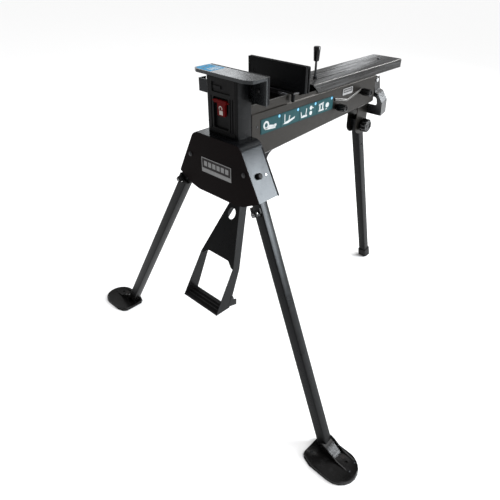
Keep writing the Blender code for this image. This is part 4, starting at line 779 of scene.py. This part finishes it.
def latch_details(side, name):
    """Moulded finger grip on the front of a leg latch, with a steel pin through it and a spring washer."""
    down = Vector((side * math.sin(LEG_SPLAY), -math.sin(LEG_LEAN) * math.cos(LEG_SPLAY),
                   -math.cos(LEG_LEAN) * math.cos(LEG_SPLAY)))
    ahead = Vector((0, -math.cos(LEG_LEAN), math.sin(LEG_LEAN)))
    inward = down.cross(ahead) * side
    pivot_x, pivot_y, pivot_z = LEG_PIVOT
    pivot = spot(side * pivot_x, pivot_y, pivot_z)

    def on_leg(u, v, h):
        """u mm inwards from the leg's axis, v mm down it and h mm forwards."""
        return pivot + (inward * u + down * v + ahead * h) * MM

    # The grip's outline is (forwards, down), and it reaches as far as half to each side of the leg's axis.
    grip = [(14.2, 89.5), (24.0, 89.5), (29.0, 91.5), (31.0, 96.0), (30.0, 102.0), (27.0, 104.0),
            (24.5, 100.5), (20.5, 100.0), (17.5, 105.5), (14.2, 105.5)]
    half = 8.5
    mesh = bmesh.new()
    add_plate(mesh, grip, lambda forwards, v, u: on_leg(u, v, forwards), -half, half)
    soften_edges(mesh, mesh.edges[:], 0.9)
    finish_piece(f"{name}_latch_grip", mesh, PLASTIC, f"{name}_latch", True)
    mesh = bmesh.new()
    for end in (-1, 1):
        rivet(mesh, on_leg(end * (half - 0.1), 94.5, 24.5), inward * end, 2.4, 1.6)
    finish_piece(f"{name}_latch_pin", mesh, STEEL, f"{name}_latch", True)
    mesh = bmesh.new()
    washer = [(2.4, 0.0), (4.2, 0.1), (4.4, 0.7), (3.6, 1.1), (2.4, 0.9)]
    add_lathe(mesh, washer, on_leg(0.0, 97.0, 30.6), ahead)
    finish_piece(f"{name}_latch_ring", mesh, SPRING_STEEL, f"{name}_latch", True)


# ---------------------------------------------------------------- jaws, body, painted highlights and shadows

def pad_border():
    """Raised border and four ribs on the moving jaw's pad, as moulded."""
    (x0, y, z0), (x1, _, z1) = in_mm(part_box("moving_jaw_pad"))
    face = front_face(y)
    outer = rect(x0 + 2.0, z0 + 2.0, x1 - 2.0, z1 - 2.0, 2.0)
    inner = rect(x0 + 8.0, z0 + 7.5, x1 - 8.0, z1 - 7.5, 2.0)
    prints("moving_pad_border", [], face, LIFT, 0.45, PAD_PLASTIC, "slider", [(outer, inner)])
    ribs = [rect(x0 + 14.0, z0 + 11.0 + 2.6 * k, x1 - 14.0, z0 + 12.2 + 2.6 * k) for k in range(4)]
    prints("moving_pad_ribs", ribs, face, LIFT, 0.38, PAD_PLASTIC, "slider")


def body_rivets():
    """Rivets along the body's side and on the end bracket's ears."""
    mesh = bmesh.new()
    for side in (-1, 1):
        for y, z in ((6.0, 700.0), (6.0, 742.0)):
            rivet(mesh, spot(side * BODY_X, y, z), (side, 0, 0), 2.6, 1.0)
    finish_piece("body_rivets", mesh, BOLT_BLACK, "frame", True)
    mesh = bmesh.new()
    for side in (-1, 1):
        rivet(mesh, spot(side * 44.5, 541.0, 751.0), (side, 0, 0), 3.0, 1.2)
    finish_piece("ear_rivets", mesh, STEEL, "frame", True)


def highlight_strips(name, boxes, body):
    """Straight light lines of painted highlight, each one a thin box: x0, x1, y0, y1, z0, z1."""
    mesh = bmesh.new()
    for x0, x1, y0, y1, z0, z1 in boxes:
        add_plate(mesh, rect(x0, y0, x1, y1), spot, z0, z1)
    finish_piece(name, mesh, HIGHLIGHT_PAINT, body)


def beam_highlights():
    """Painted highlights along the beam's edges and along its two grooves' edges, and painted shadows in the
    grooves' rear ends.
    """
    (_, y0, _), (x, y1, top) = in_mm(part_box("slide_beam"))
    front, rear = y0 + 6.0, y1 - 2.0
    edge_radius = 3.0
    mesh = bmesh.new()
    for side in (-1, 1):
        # Painted highlight: a light strip along each of the beam's top edges.
        edge = arc_band(x - edge_radius, top - edge_radius, edge_radius - 0.06, 0.28, 20, 70, 5)
        add_plate(mesh, [(side * u, v) for u, v in edge], section, front, rear)
    finish_piece("beam_edge_highlights", mesh, HIGHLIGHT_PAINT, "slider")
    # Painted highlights along both edges of each groove.
    highlight_strips("groove_edge_highlights", [(x0, x0 + 0.9, start, end, top - 0.5, top + 0.06)
                                      for x0 in (-24.0, -18.0, 17.1, 23.1)
                                      for start, end in ((236.0, 419.0), (436.0, rear - 4.0))], "slider")
    # Painted shadows: dark strips in the grooves' rear stretches.
    grooves = [rect(x0, 440.0, x0 + 4.2, rear - 8.0, 2.0) for x0 in (-22.6, 18.4)]
    prints("groove_shadows", grooves, top_face(top), -0.4, 0.03, PAINT_FRONT, "slider")


def edge_highlight_lines():
    """Thin light lines painted along edges as highlights, and the grooves' painted shadows."""
    beam_highlights()
    # Painted highlight along the body's top lip.
    highlight_strips("body_lip_highlight", [(BODY_X - 0.8, BODY_X + 0.05, -8.0, 160.0, 798.4, 799.05)], "frame")
    _, (x, _, top) = in_mm(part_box("fixed_jaw"))
    # Painted highlight along the fixed jaw's top edge.
    highlight_strips("jaw_edge_highlight", [(x - 0.7, x + 0.05, -48.0, -3.0, top - 0.7, top - 0.02)], "frame")


edge_highlight_lines()
instruction_label()
cover_nameplate()
badge()
jaw_sticker()
lever_print()
head_rivets()
body_rivets()
head_rear_rims()
side_bead()
pad_border()
fluted_knob("front_side_knob_fluted", "body_knob_1", "front_side_knob", 8, 0.20, BODY_X + 0.6)
fluted_knob("rear_side_knob_fluted", "body_knob_2", "rear_side_knob", 8, 0.20, BODY_X + 0.6)
fluted_knob("back_leg_knob_fluted", "rear_leg_knob", "back_leg_knob", 10, 0.16)
for side, side_name in SIDES:
    pressed_foot(side, side_name)
    latch_details(side, side_name)


# ---------------------------------------------------------------- stage, light and camera

def floor_material(colour):
    """Plain matt floor, with hardly visible clouds."""
    look = Look("floor_white", colour, 0.8, specular=0.2)
    cloud = look.noise(0.8, 2.0, 0.5)
    look.set("Base Color", look.mix(cloud, shade(colour, 0.995), shade(colour, 1.0)))
    return look.material


def make_floor():
    """A wide floor just below the feet's soles."""
    mesh = bmesh.new()
    bmesh.ops.create_grid(mesh, x_segments=2, y_segments=2, size=40.0)
    data = bpy.data.meshes.new("floor")
    mesh.to_mesh(data)
    mesh.free()
    data.materials.append(floor_material((0.86, 0.86, 0.86)))
    floor = bpy.data.objects.new("floor", data)
    floor.location.z = -0.0004
    bpy.context.scene.collection.objects.link(floor)


def soft_light(name, place, target, size, power, colour=(1, 1, 1)):
    """A rectangular light at one place, turned towards another, both in metres."""
    data = bpy.data.lights.new(name, "AREA")
    data.shape = "RECTANGLE"
    data.size, data.size_y = size
    data.energy = power
    data.color = colour
    light = bpy.data.objects.new(name, data)
    light.location = place
    light.rotation_euler = (Vector(target) - Vector(place)).to_track_quat("-Z", "Y").to_euler()
    bpy.context.scene.collection.objects.link(light)


def overhead_light(strength, spread):
    """Wide soft light from above, which keeps the floor evenly pale."""
    data = bpy.data.lights.new("overhead", "SUN")
    data.energy = strength
    data.angle = math.radians(spread)
    light = bpy.data.objects.new("overhead", data)
    light.rotation_euler = (math.radians(-14), math.radians(12), 0)
    bpy.context.scene.collection.objects.link(light)


def make_world():
    world = bpy.data.worlds.new("studio")
    world.use_nodes = True
    background = world.node_tree.nodes["Background"]
    background.inputs["Color"].default_value = (1.0, 1.0, 1.0, 1.0)
    background.inputs["Strength"].default_value = 0.42
    bpy.context.scene.world = world


def make_camera():
    data = bpy.data.cameras.new("camera")
    data.sensor_width = 36.0
    data.lens = 34.265
    data.clip_start = 0.05
    camera = bpy.data.objects.new("camera", data)
    camera.location = spot(829.0, -818.0, 1129.0)
    camera.rotation_euler = (math.radians(56.683), 0.0, math.radians(44.189))
    bpy.context.scene.collection.objects.link(camera)
    bpy.context.scene.camera = camera


COOL_LIGHT = (0.94, 0.97, 1.0)

make_floor()
make_world()
make_camera()
overhead_light(2.35, 50.0)
soft_light("right_back_box", (2.3, 1.55, 1.30), (0.1, -0.3, 0.66), (0.95, 0.95), 118, (0.92, 0.96, 1.0))
soft_light("left_back_box", (-2.37, 1.78, 1.60), (0, -0.31, 0.87), (0.46, 0.8), 2.7, COOL_LIGHT)
soft_light("back_box", (-1.45, 2.45, 1.40), (0, 0.2, 0.8), (0.30, 0.8), 1.5, COOL_LIGHT)
soft_light("edge_box", (0.75, 2.55, 2.25), (0, 0, 0.75), (0.9, 0.7), 55)
scene = bpy.context.scene
scene.view_settings.view_transform = "Standard"
scene.view_settings.look = "None"
